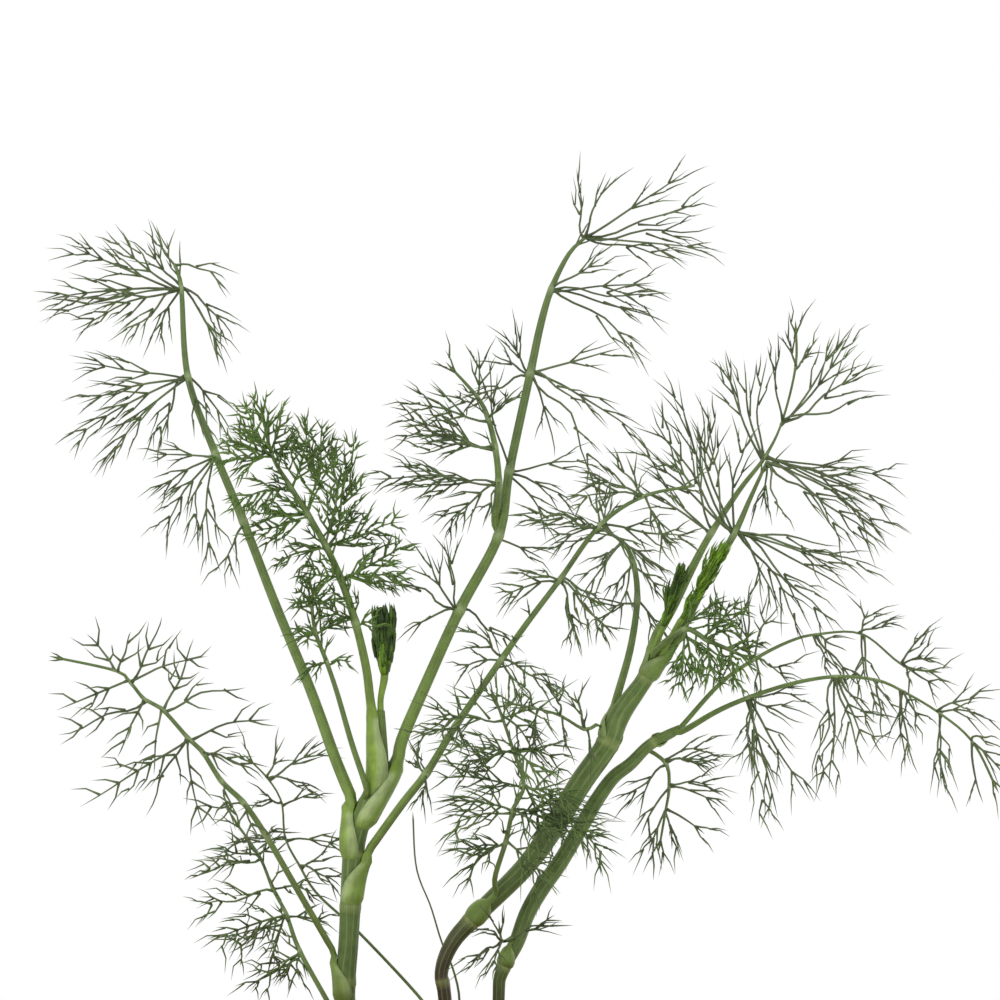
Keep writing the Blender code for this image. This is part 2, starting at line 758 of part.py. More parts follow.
def grow_pinna(bm, face, tip):
    """One leaflet's main stalk, out of a side face and bending towards its tip."""
    root = face.calc_center_median()
    out = face.normal.copy()
    reach = (tip - root).length
    start = (out * pinna_bend + (tip - root).normalized() * (1 - pinna_bend)).normalized()
    bend = root + start * reach * 0.45
    shoot = Shoot(bm, face)
    for t, share in pinna_taper:
        place = root * (1 - t) ** 2 + bend * 2 * t * (1 - t) + tip * t**2
        along = ((bend - root) * (1 - t) + (tip - bend) * t).normalized()
        shoot.ring(place, along, pinna_radius * share * leaf_scale * MM)
    shoot.point(tip)


def make_leaf(leaf, paths, parts, material):
    parent = paths[leaf.parent]
    bm = bmesh.new()
    radius = leaf.radius * leaf_scale * MM
    if leaf.sheath:
        face = start_sheath(bm, leaf, parent)
        start = face.calc_center_median()
        lift = start + face.normal * straight_start * MM
        top = parent.at_height(leaf.height) + leaf.sheath * shoot_scale * MM
        out = parent.outward(top, leaf.heading)
        points = [start, lift + out * max(0.0, radius - sheath_thickness / 2 * MM)]
    else:
        s = parent.at_height(leaf.height)
        out = parent.outward(s, leaf.heading)
        step = (sheath_thickness + clearance) * MM * leaf.layer
        start = parent.place(s) + out * (parent.radius(s) + radius + 2 * clearance * MM + step)
        points = [start, start + (out + parent.tangent(s) * 1.4) * bare_start * MM]
        face = start_cone(bm, start, (points[1] - points[0]).normalized(), radius)
    points += [placed(place) for place in leaf.route]
    first = len(points) - len(leaf.route) - 1
    radii = [radius * share for share in stalk_taper]
    path = Path(points, [*radii, leaf.tip_radius * leaf_scale * MM])
    paths[leaf.name] = path

    rings = []
    for number in range(1, len(leaf.route) + 1):
        s = path.at_point(first + number)
        tips = leaf.pinnae.get(number, [])
        bands = math.ceil(len(tips) / 4)
        width = bands * pinna_band * MM
        low = s - width / 2 if number < len(leaf.route) else s - width - 1.0 * MM
        previous = rings[-1][0] if rings else 0.0
        count = max(1, round((low - previous) / (ring_gap * MM)))
        rings += [(previous + (low - previous) * k / count, None) for k in range(1, count + 1)]
        rings += [(low + pinna_band * MM * (k + 1), number) for k in range(bands)]
    shoot = Shoot(bm, face)
    sides = {}
    for s, number in rings:
        made = shoot.ring(path.place(s), path.tangent(s), path.radius(s))
        if number:
            sides.setdefault(number, []).extend(made)
    shoot.point(path.place(path.length))
    bm.normal_update()
    for number, tips in leaf.pinnae.items():
        free = sides[number]
        for tip in tips:
            target = placed(tip)
            aim = [(target - side.calc_center_median()).normalized().dot(side.normal) for side in free]
            chosen = free.pop(int(np.argmax(aim)))
            grow_pinna(bm, chosen, target)
    add_object(leaf.name, mesh_from(bm, leaf.name), parts, material)


def make_stems(paths, parts):
    material = new_material("stem", GREEN, 0.5)
    for name, (places, radii) in STEMS.items():
        places = [places[0][:2] + (-planting_depth / shoot_scale,), *places[1:]]
        path = Path([placed(place) for place in places], [radius * stem_scale * MM for radius in radii])
        paths[name] = path
        tube(name, path, parts, material)


def make_buds(paths, parts):
    material = new_material("furled leaf", DARK_GREEN, 0.6)
    for name, (parent_name, height, heading, layer, places, radii) in BUDS.items():
        parent = paths[parent_name]
        radius = radii[0] * stem_scale * MM
        if height is None:
            tangent = parent.tangent(parent.length)
            start = parent.place(parent.length) + tangent * 2 * clearance * MM
            points = [start, start + tangent * bud_start * MM]
        else:
            s = parent.at_height(height)
            gap = (2 + layer) * clearance * MM + layer * sheath_thickness * MM
            points = [parent.place(s) + parent.outward(s, heading) * (parent.radius(s) + radius + gap)]
        points += [placed(place) for place in places]
        path = Path(points, [radius * stem_scale * MM for radius in radii])
        paths[name] = path
        tube(name, path, parts, material, spacing=bud_spacing, resolution=3)


def main():
    clear_scene()
    parts = new_collection("potted dill")
    cutters = new_collection("cutters")
    paths = {}
    make_stems(paths, parts)
    make_pot(parts, cutters)
    make_soil(parts, cutters, {name: paths[name] for name in STEMS})
    make_buds(paths, parts)
    material = new_material("leaf", PALE_GREEN, 0.6)
    for leaf in LEAVES:
        make_leaf(leaf, paths, parts, material)


main()
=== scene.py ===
"""Potted dill: the finished look of three dill plants in a plain clay pot.

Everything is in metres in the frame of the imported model, with the pot's axis on z and -Y to
the front.  Sizes in the classes of pieces are in millimetres, and those in the finishes and the
studio are in metres unless they say otherwise.  Plant places are (x, y, z) in millimetres from the
point where the pot's axis meets the edge level of the soil.
"""

import json
import logging
import math
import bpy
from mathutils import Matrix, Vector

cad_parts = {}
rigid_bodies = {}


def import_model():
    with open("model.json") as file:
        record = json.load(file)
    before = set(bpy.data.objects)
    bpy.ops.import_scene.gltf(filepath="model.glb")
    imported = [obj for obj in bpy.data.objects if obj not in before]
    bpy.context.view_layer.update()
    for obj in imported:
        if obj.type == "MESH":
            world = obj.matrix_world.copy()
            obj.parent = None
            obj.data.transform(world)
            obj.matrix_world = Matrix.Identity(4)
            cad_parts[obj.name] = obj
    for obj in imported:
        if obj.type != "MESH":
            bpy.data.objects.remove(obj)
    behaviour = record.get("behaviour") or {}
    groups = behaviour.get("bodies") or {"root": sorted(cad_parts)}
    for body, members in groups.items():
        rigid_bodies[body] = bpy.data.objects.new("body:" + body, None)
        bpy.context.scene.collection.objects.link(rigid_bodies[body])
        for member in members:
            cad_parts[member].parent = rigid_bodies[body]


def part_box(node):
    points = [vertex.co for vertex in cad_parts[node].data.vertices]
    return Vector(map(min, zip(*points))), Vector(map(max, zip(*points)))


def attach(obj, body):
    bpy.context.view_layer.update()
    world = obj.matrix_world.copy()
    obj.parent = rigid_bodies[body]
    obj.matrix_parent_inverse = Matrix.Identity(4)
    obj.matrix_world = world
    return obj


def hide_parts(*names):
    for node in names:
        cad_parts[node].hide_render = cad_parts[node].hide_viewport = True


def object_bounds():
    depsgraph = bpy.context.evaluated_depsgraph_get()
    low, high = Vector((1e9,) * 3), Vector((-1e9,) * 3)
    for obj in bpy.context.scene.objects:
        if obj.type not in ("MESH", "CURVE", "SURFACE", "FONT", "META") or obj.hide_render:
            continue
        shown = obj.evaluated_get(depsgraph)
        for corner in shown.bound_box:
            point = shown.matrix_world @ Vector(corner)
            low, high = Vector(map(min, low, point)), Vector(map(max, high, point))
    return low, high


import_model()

import zlib
from dataclasses import dataclass, field
from enum import Enum
from typing import ClassVar

import bmesh
import bpy
import numpy as np
from mathutils import Vector

cad_low, cad_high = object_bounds()

log = logging.getLogger("potted dill")

MM = 0.001
BODY = "root"
GROWTH = "growth"  # attribute: how fresh, how pale and how aged the plant is at a point
SKIN = "skin"  # attribute: cosine and sine of the angle round a stalk, and metres along it
PLAIN_SKIN = np.array([1.0, 0.0, 0.0])  # for what has no ribs

Place = tuple[float, float, float]
Colour = tuple[float, float, float]


def display_colour(red: int, green: int, blue: int) -> Colour:
    """Turns a colour as a screen shows it, 0 to 255, into linear light.

    Args:
        red: The red value.
        green: The green value.
        blue: The blue value.

    Returns:
        The linear red, green and blue.
    """
    shares = (value / 255 for value in (red, green, blue))
    return tuple(s / 12.92 if s <= 0.04045 else ((s + 0.055) / 1.055) ** 2.4 for s in shares)


def unit(vector: np.ndarray) -> np.ndarray:
    """Returns a vector, or each row of an array of vectors, at length 1."""
    length = np.linalg.norm(vector, axis=-1, keepdims=True)
    return vector / np.maximum(length, 1e-12)


def smooth_step(value: np.ndarray | float) -> np.ndarray | float:
    """Eases a value from 0 to 1, flat at both ends."""
    inside = np.clip(value, 0.0, 1.0)
    return inside * inside * (3 - 2 * inside)


class SoilLine:
    """Where the plants' places are counted from, read off the packed soil."""

    crown = 2.0 * MM  # the soil's middle stands this much above its edge
    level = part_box("soil")[1].z - crown

    @classmethod
    def placed(cls, place: Place) -> np.ndarray:
        """Turns a plant place in millimetres into a point of the frame."""
        return np.array(place, float) * MM + np.array([0.0, 0.0, cls.level])


class Path:
    """A smooth curve through points, with a radius along it, read by distance from its start."""

    span_samples = 12
    step = 0.5 * MM

    def __init__(self, points: list[np.ndarray], radii: list[float]) -> None:
        """Lays the curve.

        Args:
            points: The points it runs through.
            radii: Radii in metres, spread evenly over the points.
        """
        knots = np.array(points, float)
        knots = np.vstack([2 * knots[0] - knots[1], knots, 2 * knots[-1] - knots[-2]])
        t = np.linspace(0, 1, self.span_samples, endpoint=False)[:, None]
        spans = []
        for a, b, c, d in zip(knots, knots[1:], knots[2:], knots[3:]):
            linear = (c - a) * t
            square = (2 * a - 5 * b + 4 * c - d) * t**2
            cubic = (3 * b - a - 3 * c + d) * t**3
            spans.append(0.5 * (2 * b + linear + square + cubic))
        self.places = np.vstack([*spans, knots[-2]])
        steps = np.linalg.norm(np.diff(self.places, axis=0), axis=1)
        self.distance = np.concatenate([[0.0], np.cumsum(steps)])
        self.length = float(self.distance[-1])
        marks = np.linspace(0, len(points) - 1, len(radii))
        self.radii = np.interp(np.linspace(0, len(points) - 1, len(self.places)), marks, radii)

    def at_point(self, index: int) -> float:
        """Returns the distance at which the curve reaches one of its points."""
        return float(self.distance[index * self.span_samples])

    def at_height(self, height: float) -> float:
        """Returns the distance at which a rising curve reaches a height in mm above the soil."""
        return float(np.interp(SoilLine.placed((0, 0, height))[2], self.places[:, 2], self.distance))

    def inner_place(self, s: float) -> np.ndarray:
        """Returns the place at a distance that lies within the curve."""
        return np.array([np.interp(s, self.distance, self.places[:, k]) for k in range(3)])

    def place(self, s: float) -> np.ndarray:
        """Returns the place at a distance, straight on past either end."""
        inside = min(max(s, 0.0), self.length)
        return self.inner_place(inside) + self.tangent(inside) * (s - inside)

    def tangent(self, s: float) -> np.ndarray:
        """Returns the curve's direction at a distance."""
        middle = min(max(s, self.step), self.length - self.step)
        return unit(self.inner_place(middle + self.step) - self.inner_place(middle - self.step))

    def radius(self, s: float) -> float:
        """Returns the radius at a distance."""
        return float(np.interp(s, self.distance, self.radii))

    def outward(self, s: float, heading: float) -> np.ndarray:
        """Returns the direction square to the curve that points most nearly along a heading.

        Args:
            s: Distance along the curve.
            heading: Degrees from +X towards +Y.

        Returns:
            A unit vector.
        """
        angle = math.radians(heading)
        tangent = self.tangent(s)
        flat = np.array([math.cos(angle), math.sin(angle), 0.0])
        return unit(flat - tangent * flat.dot(tangent))


class PlantMesh:
    """Gathers tubes and lofts into one mesh, with what the plant's finishes read from it."""

    def __init__(self) -> None:
        """Starts an empty mesh."""
        self.places: list[np.ndarray] = []
        self.growth: list[np.ndarray] = []
        self.skin: list[np.ndarray] = []
        self.faces: list[tuple[int, ...]] = []
        self.slots: list[int] = []
        self.count = 0

    def add_points(self, places: np.ndarray, growth: np.ndarray, skin: np.ndarray) -> int:
        """Adds points and returns the number of the first."""
        first = self.count
        self.places.append(places.reshape(-1, 3))
        self.growth.append(np.broadcast_to(growth, places.shape).reshape(-1, 3))
        self.skin.append(np.broadcast_to(skin, places.shape).reshape(-1, 3))
        self.count += len(self.places[-1])
        return first

    def loft(
        self,
        loops: np.ndarray,
        growth: np.ndarray,
        skin: np.ndarray,
        slot: int,
        start: np.ndarray,
        end: np.ndarray,
    ) -> None:
        """Adds a closed skin over a row of loops.

        Args:
            loops: Points by loop and place in the loop, counter-clockwise as seen from the end.
            growth: Fresh, pale and aged shares: one row, or one for each point.
            skin: Angle and length: one row, or one for each point.
            slot: The number of the material.
            start: The point that closes the first loop.
            end: The point that closes the last loop.
        """
        rows, sides = loops.shape[:2]
        first = self.add_points(loops, growth, skin)
        growth = np.broadcast_to(growth, loops.shape)
        skin = np.broadcast_to(skin, loops.shape)
        base = self.add_points(np.array([start]), growth[0, 0], skin[0, 0])
        tip = self.add_points(np.array([end]), growth[-1, 0], skin[-1, 0])
        grid = first + np.arange(rows * sides).reshape(rows, sides)
        turned = np.roll(grid, -1, axis=1)
        quads = np.stack([grid[:-1], turned[:-1], turned[1:], grid[1:]], axis=-1).reshape(-1, 4)
        self.faces += quads.tolist()
        self.faces += [(base, int(b), int(a)) for a, b in zip(grid[0], turned[0])]
        self.faces += [(int(a), int(b), tip) for a, b in zip(grid[-1], turned[-1])]
        self.slots += [slot] * (len(quads) + 2 * sides)

    def tube(
        self,
        points: np.ndarray,
        radii: np.ndarray,
        growth: np.ndarray,
        slot: int,
        sides: int = 5,
    ) -> None:
        """Adds a tapered tube along a few points, closed in a point at its far end.

        Args:
            points: Points along the tube, the last one its tip.
            radii: The radius at each point but the last.
            growth: Fresh, pale and aged shares.
            slot: The number of the material.
            sides: How many sides the tube has.
        """
        tangents = unit(np.gradient(points, axis=0))
        reach = np.abs(points[-1] - points[0])
        reference = np.eye(3)[int(np.argmin(reach))]
        across = unit(np.cross(tangents, reference))
        up = np.cross(tangents, across)
        angles = np.linspace(0, 2 * math.pi, sides, endpoint=False)
        arms = across[:, None] * np.cos(angles)[:, None] + up[:, None] * np.sin(angles)[:, None]
        loops = points[:-1, None] + arms[:-1] * np.array(radii)[:, None, None]
        self.loft(loops, growth, PLAIN_SKIN, slot, points[0], points[-1])

    def finished(self, name: str, materials: list[bpy.types.Material]) -> bpy.types.Object:
        """Makes the object.

        Args:
            name: The piece's name.
            materials: Its materials, in the order of their numbers.

        Returns:
            The object, linked to the scene.
        """
        mesh = bpy.data.meshes.new(name)
        mesh.from_pydata(np.vstack(self.places).tolist(), [], self.faces)
        colours = np.hstack([np.vstack(self.growth), np.ones((self.count, 1))])
        mesh.attributes.new(GROWTH, "FLOAT_COLOR", "POINT").data.foreach_set("color", colours.ravel())
        mesh.attributes.new(SKIN, "FLOAT_VECTOR", "POINT").data.foreach_set(
            "vector", np.vstack(self.skin).ravel()
        )
        for material in materials:
            mesh.materials.append(material)
        mesh.polygons.foreach_set("material_index", self.slots)
        mesh.polygons.foreach_set("use_smooth", [True] * len(self.slots))
        mesh.update()
        piece = bpy.data.objects.new(name, mesh)
        bpy.context.scene.collection.objects.link(piece)
        return piece


def settle(piece: bpy.types.Object, slot: str, *nodes: str) -> None:
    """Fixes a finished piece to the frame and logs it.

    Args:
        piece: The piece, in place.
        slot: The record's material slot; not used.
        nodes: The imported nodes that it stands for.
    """
    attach(piece, BODY)
    if nodes:
        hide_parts(*nodes)
    log.info("%s: %d faces", piece.name, len(piece.data.polygons))


class Nodes:
    """Lays shader nodes out in a tree, and joins them, in few words."""

    def __init__(self, tree: bpy.types.NodeTree) -> None:
        """Takes the tree that the nodes go in."""
        self.tree = tree

    def add(
        self,
        kind: str,
        inputs: dict[str | int, object] | None = None,
        **settings: object,
    ) -> bpy.types.Node:
        """Adds a node.

        Args:
            kind: The node's type, without its ShaderNode prefix.
            inputs: A value, or another node's output, for each named or numbered input.
            settings: The node's own properties.

        Returns:
            The node.
        """
        node = self.tree.nodes.new("ShaderNode" + kind)
        for name, value in settings.items():
            setattr(node, name, value)
        for key, value in (inputs or {}).items():
            if isinstance(value, bpy.types.NodeSocket):
                self.tree.links.new(value, node.inputs[key])
            elif isinstance(value, tuple) and len(value) == 3 and node.inputs[key].type == "RGBA":
                node.inputs[key].default_value = (*value, 1.0)
            else:
                node.inputs[key].default_value = value
        return node

    def math(self, operation: str, *values: object) -> bpy.types.NodeSocket:
        """Adds a Math node on the values given and returns its output."""
        return self.add("Math", dict(enumerate(values)), operation=operation).outputs[0]

    def ramp(self, value: object, low: float, high: float, top: float = 1.0) -> bpy.types.NodeSocket:
        """Returns a value eased from 0 at low to top at high."""
        settings = {"Value": value, "From Min": low, "From Max": high, "To Max": top}
        return self.add("MapRange", settings, interpolation_type="SMOOTHSTEP").outputs[0]

    def mix(self, factor: object, first: object, second: object, blend: str = "MIX") -> bpy.types.NodeSocket:
        """Returns two colours mixed by a factor."""
        inputs = {0: factor, 6: first, 7: second}
        return self.add("Mix", inputs, data_type="RGBA", blend_type=blend).outputs[2]

    def noise(self, scale: float, detail: float = 2.0, vector: object = None) -> bpy.types.NodeSocket:
        """Returns noise over the piece, from 0 to 1, at a scale in cycles a metre."""
        place = vector or self.add("TexCoord").outputs["Object"]
        inputs = {"Vector": place, "Scale": scale, "Detail": detail}
        return self.add("TexNoise", inputs).outputs[0]

    def placed_group(self, tree: bpy.types.NodeTree, **inputs: object) -> bpy.types.Node:
        """Adds a node group with its values, named with spaces for underscores."""
        node = self.tree.nodes.new("ShaderNodeGroup")
        node.node_tree = tree
        for name, value in inputs.items():
            socket = node.inputs[name.replace("_", " ")]
            if isinstance(value, bpy.types.NodeSocket):
                self.tree.links.new(value, socket)
            else:
                socket.default_value = (*value, 1.0) if socket.type == "RGBA" else value
        return node


class Effects:
    """The node groups that several finishes share, each built once."""

    built: dict[str, bpy.types.NodeTree] = {}

    @classmethod
    def start(cls, name: str, inputs: dict[str, str], outputs: dict[str, str]) -> tuple:
        """Makes an empty group.

        Args:
            name: The group's name.
            inputs: Socket types by name.
            outputs: Socket types by name.

        Returns:
            The group, its Nodes helper, its input node's outputs and its output node's inputs.
        """
        tree = bpy.data.node_groups.new(name, "ShaderNodeTree")
        for direction, sockets in (("INPUT", inputs), ("OUTPUT", outputs)):
            for socket, kind in sockets.items():
                tree.interface.new_socket(name=socket, in_out=direction, socket_type="NodeSocket" + kind)
        source = tree.nodes.new("NodeGroupInput")
        result = tree.nodes.new("NodeGroupOutput")
        cls.built[name] = tree
        return tree, Nodes(tree), source.outputs, result.inputs

    @classmethod
    def growth_tint(cls) -> bpy.types.NodeTree:
        """Returns the group that colours a plant by its growth attribute and a soft mottle.

        Returns:
            The group, with inputs Base, Fresh, Pale, Aged, Mottle and Mottle Scale, and output Color.
        """
        if "growth tint" in cls.built:
            return cls.built["growth tint"]
        inputs = {name: "Color" for name in ("Base", "Fresh", "Pale", "Aged")}
        inputs |= {"Mottle": "Float", "Mottle Scale": "Float"}
        tree, nodes, given, result = cls.start("growth tint", inputs, {"Color": "Color"})
        growth = nodes.add("Attribute", attribute_name=GROWTH, attribute_type="GEOMETRY").outputs["Color"]
        shares = nodes.add("SeparateColor", {0: growth}).outputs
        colour = nodes.mix(shares[0], given["Base"], given["Fresh"])
        colour = nodes.mix(shares[2], colour, given["Aged"])
        colour = nodes.mix(shares[1], colour, given["Pale"])
        cloud = nodes.noise(given["Mottle Scale"], 3.0)
        shade = nodes.ramp(cloud, 0.3, 0.7, 2.0)
        dark = nodes.math("MULTIPLY", nodes.math("SUBTRACT", shade, 1.0), given["Mottle"])
        gain = nodes.math("ADD", dark, 1.0)
        grey = nodes.add("CombineColor", {0: gain, 1: gain, 2: gain}).outputs[0]
        tree.links.new(nodes.mix(1.0, colour, grey, "MULTIPLY"), result["Color"])
        return tree

    @classmethod
    def ribs(cls) -> bpy.types.NodeTree:
        """Returns the group that runs fine ribs along a stalk, by its skin attribute.

        Returns:
            The group, with inputs Count, Sharpness and Waver, and outputs Ridge and Fibre.
        """
        if "ribs" in cls.built:
            return cls.built["ribs"]
        inputs = {"Count": "Float", "Sharpness": "Float", "Waver": "Float"}
        tree, nodes, given, result = cls.start("ribs", inputs, {"Ridge": "Float", "Fibre": "Float"})
        skin = nodes.add("Attribute", attribute_name=SKIN, attribute_type="GEOMETRY").outputs["Vector"]
        parts = nodes.add("SeparateXYZ", {0: skin}).outputs
        turn = nodes.math("ARCTAN2", parts[1], parts[0])

        def stretched(times: float) -> bpy.types.NodeSocket:
            """Returns the skin's place with its length counted this many times."""
            length = nodes.math("MULTIPLY", parts[2], times)
            return nodes.add("CombineXYZ", {0: parts[0], 1: parts[1], 2: length}).outputs[0]

        drift = nodes.math("SUBTRACT", nodes.noise(0.8, 1.0, stretched(60.0)), 0.5)
        wavering = nodes.math("MULTIPLY_ADD", drift, given["Waver"], turn)
        wave = nodes.math("SINE", nodes.math("MULTIPLY", wavering, given["Count"]))
        half = nodes.math("MULTIPLY_ADD", wave, 0.5, 0.5)
        tree.links.new(nodes.math("POWER", half, given["Sharpness"]), result["Ridge"])
        tree.links.new(nodes.noise(16.0, 3.0, stretched(20.0)), result["Fibre"])
        return tree

    @classmethod
    def grain(cls) -> bpy.types.NodeTree:
        """Returns the group of a mineral surface's coarse and fine grain.

        Returns:
            The group, with inputs Coarse, Fine and Balance, and outputs Height and Speck.
        """
        if "grain" in cls.built:
            return cls.built["grain"]
        inputs = {"Coarse": "Float", "Fine": "Float", "Balance": "Float"}
        tree, nodes, given, result = cls.start("grain", inputs, {"Height": "Float", "Speck": "Float"})
        coarse = nodes.noise(given["Coarse"], 4.0)
        fine = nodes.noise(given["Fine"], 5.0)
        height = nodes.add("Mix", {0: given["Balance"], 2: coarse, 3: fine}, data_type="FLOAT").outputs[0]
        tree.links.new(height, result["Height"])
        tree.links.new(nodes.ramp(fine, 0.56, 0.7), result["Speck"])
        return tree


def new_material(name: str) -> tuple[bpy.types.Material, Nodes]:
    """Makes a material and returns it with the helper that lays out its nodes."""
    material = bpy.data.materials.new(name)
    material.use_nodes = True
    return material, Nodes(material.node_tree)


def join_shader(
    nodes: Nodes,
    colour: bpy.types.NodeSocket,
    rough: bpy.types.NodeSocket,
    bump: bpy.types.Node,
    gloss: float,
) -> None:
    """Joins a finish's nodes to its material's shader.

    Args:
        nodes: The helper of the material's tree.
        colour: The finish's colour.
        rough: The finish's roughness.
        bump: The node that gives its relief.
        gloss: The shader's specular level.
    """
    shader = nodes.tree.nodes["Principled BSDF"]
    nodes.tree.links.new(colour, shader.inputs["Base Color"])
    nodes.tree.links.new(rough, shader.inputs["Roughness"])
    nodes.tree.links.new(bump.outputs[0], shader.inputs["Normal"])
    shader.inputs["Specular IOR Level"].default_value = gloss


@dataclass(frozen=True)
class GreenFinish:
    """The skin of a growing piece: its greens, ribs and gloss."""

    name: str
    base: Colour
    fresh: Colour
    pale: Colour
    aged: Colour
    stripe: Colour
    stripe_share: float = 0.0
    rib_count: float = 9.0
    rib_sharpness: float = 2.0
    rib_waver: float = 0.6
    rib_depth: float = 0.00006
    mottle: float = 0.18
    mottle_scale: float = 260.0
    fibre_share: float = 0.22  # how much of the aged colour shows between the fibres
    roughness: float = 0.5
    gloss: float = 0.3

    def material(self) -> bpy.types.Material:
        """Returns the material, made at its first use."""
        found = bpy.data.materials.get(self.name)
        if found:
            return found
        material, nodes = new_material(self.name)
        tint = nodes.placed_group(
            Effects.growth_tint(), Base=self.base, Fresh=self.fresh, Pale=self.pale, Aged=self.aged,
            Mottle=self.mottle, Mottle_Scale=self.mottle_scale,
        )
        ribs = nodes.placed_group(
            Effects.ribs(), Count=self.rib_count, Sharpness=self.rib_sharpness, Waver=self.rib_waver
        )
        share = nodes.math("MULTIPLY", ribs.outputs["Ridge"], self.stripe_share)
        striped = nodes.mix(share, tint.outputs["Color"], self.stripe)
        fibre = nodes.ramp(ribs.outputs["Fibre"], 0.35, 0.75, self.fibre_share)
        coloured = nodes.mix(fibre, striped, self.aged)
        height = nodes.math("MULTIPLY_ADD", ribs.outputs["Fibre"], 0.5, ribs.outputs["Ridge"])
        bump = nodes.add("Bump", {"Height": height, "Distance": self.rib_depth, "Strength": 0.8})
        rough = nodes.math("MULTIPLY_ADD", ribs.outputs["Fibre"], 0.2, self.roughness - 0.1)
        join_shader(nodes, coloured, rough, bump, self.gloss)
        return material


@dataclass(frozen=True)
class ClayFinish:
    """Fired clay with faint turning marks and a bloom of lime."""

    name: str = "fired clay"
    light: Colour = display_colour(203, 128, 92)
    dark: Colour = display_colour(168, 92, 62)
    bloom: Colour = display_colour(226, 200, 180)
    bloom_share: float = 0.7
    bloom_top: tuple[float, float] = (0.088, 0.117)  # heights between which the upper bloom grows
    bloom_foot: float = 0.02  # height at which the lower bloom ends
    turning_gap: float = 0.0021  # between two turning marks
    turning_depth: float = 0.08  # as a share of the relief
    relief: float = 0.0005
    roughness: float = 0.75
    gloss: float = 0.25

    def material(self) -> bpy.types.Material:
        """Returns the material."""
        material, nodes = new_material(self.name)
        grain = nodes.placed_group(Effects.grain(), Coarse=90.0, Fine=1400.0, Balance=0.35)
        place = nodes.add("TexCoord").outputs["Object"]
        height = nodes.add("SeparateXYZ", {0: place}).outputs[2]
        colour = nodes.mix(nodes.ramp(nodes.noise(26.0, 4.0), 0.32, 0.68), self.dark, self.light)
        specks = nodes.math("MULTIPLY", grain.outputs["Speck"], 0.35)
        colour = nodes.mix(specks, colour, self.dark)
        bands = nodes.math("SINE", nodes.math("MULTIPLY", height, 2 * math.pi / self.turning_gap))
        top = nodes.ramp(height, *(cad_low.z + level for level in self.bloom_top))
        foot = nodes.ramp(height, cad_low.z + self.bloom_foot, cad_low.z)
        edges = nodes.math("MAXIMUM", top, foot)
        patches = nodes.ramp(nodes.noise(44.0, 5.0), 0.5, 0.72)
        bloomed = nodes.math("MULTIPLY", nodes.math("MULTIPLY", edges, patches), self.bloom_share)
        colour = nodes.mix(bloomed, colour, self.bloom)
        raised = nodes.math("MULTIPLY_ADD", bands, self.turning_depth, grain.outputs["Height"])
        bump = nodes.add("Bump", {"Height": raised, "Distance": self.relief, "Strength": 0.7})
        rough = nodes.math("MULTIPLY_ADD", grain.outputs["Height"], 0.2, self.roughness)
        join_shader(nodes, colour, rough, bump, self.gloss)
        return material


@dataclass(frozen=True)
class EarthFinish:
    """Loose crumbly matter: potting soil, its crumbs, or the light grains in it."""

    name: str
    light: Colour
    dark: Colour
    patch_scale: float = 180.0
    relief: float = 0.0008
    roughness: float = 0.9
    gloss: float = 0.2

    def material(self) -> bpy.types.Material:
        """Returns the material."""
        material, nodes = new_material(self.name)
        grain = nodes.placed_group(Effects.grain(), Coarse=420.0, Fine=1900.0, Balance=0.45)
        patches = nodes.ramp(nodes.noise(self.patch_scale, 5.0), 0.3, 0.7)
        colour = nodes.mix(patches, self.dark, self.light)
        colour = nodes.mix(nodes.math("MULTIPLY", grain.outputs["Speck"], 0.5), colour, self.light)
        bump = nodes.add("Bump", {"Height": grain.outputs["Height"], "Distance": self.relief})
        rough = nodes.math("MULTIPLY_ADD", patches, 0.08, self.roughness - 0.04)
        join_shader(nodes, colour, rough, bump, self.gloss)
        return material


STALK_FINISH = GreenFinish(
    "leaf stalk", base=display_colour(90, 109, 58), fresh=display_colour(128, 156, 56),
    pale=display_colour(182, 194, 150), aged=display_colour(60, 78, 40),
    stripe=display_colour(124, 146, 84), stripe_share=0.35, rib_count=7.0,
)
STEM_FINISH = GreenFinish(
    "ribbed stem", base=display_colour(76, 98, 46), fresh=display_colour(112, 138, 56),
    pale=display_colour(160, 172, 104), aged=display_colour(62, 52, 36),
    stripe=display_colour(136, 152, 98), stripe_share=0.5, rib_count=9.0, rib_sharpness=9.0, rib_waver=1.2,
)
THREAD_FINISH = GreenFinish(
    "leaf threads", base=display_colour(82, 95, 59), fresh=display_colour(88, 120, 42),
    pale=display_colour(136, 150, 106), aged=display_colour(60, 70, 50),
    stripe=display_colour(70, 90, 48), mottle=0.3, mottle_scale=90.0,
    rib_depth=0.00003, roughness=0.55,
)
BUD_FINISH = GreenFinish(
    "furled leaf threads", base=display_colour(40, 62, 24), fresh=display_colour(116, 158, 24),
    pale=display_colour(120, 140, 80), aged=display_colour(26, 38, 18),
    stripe=display_colour(60, 84, 30), mottle=0.3, mottle_scale=300.0,
)
SOIL_FINISH = EarthFinish("potting soil", display_colour(92, 70, 52), display_colour(40, 30, 24))
CRUMB_FINISH = EarthFinish("soil crumbs", display_colour(100, 74, 54), display_colour(46, 34, 26), 120.0)
GRIT_FINISH = EarthFinish(
    "light grains", display_colour(226, 222, 212), display_colour(190, 184, 170), 500.0, 0.0002, 0.8
)


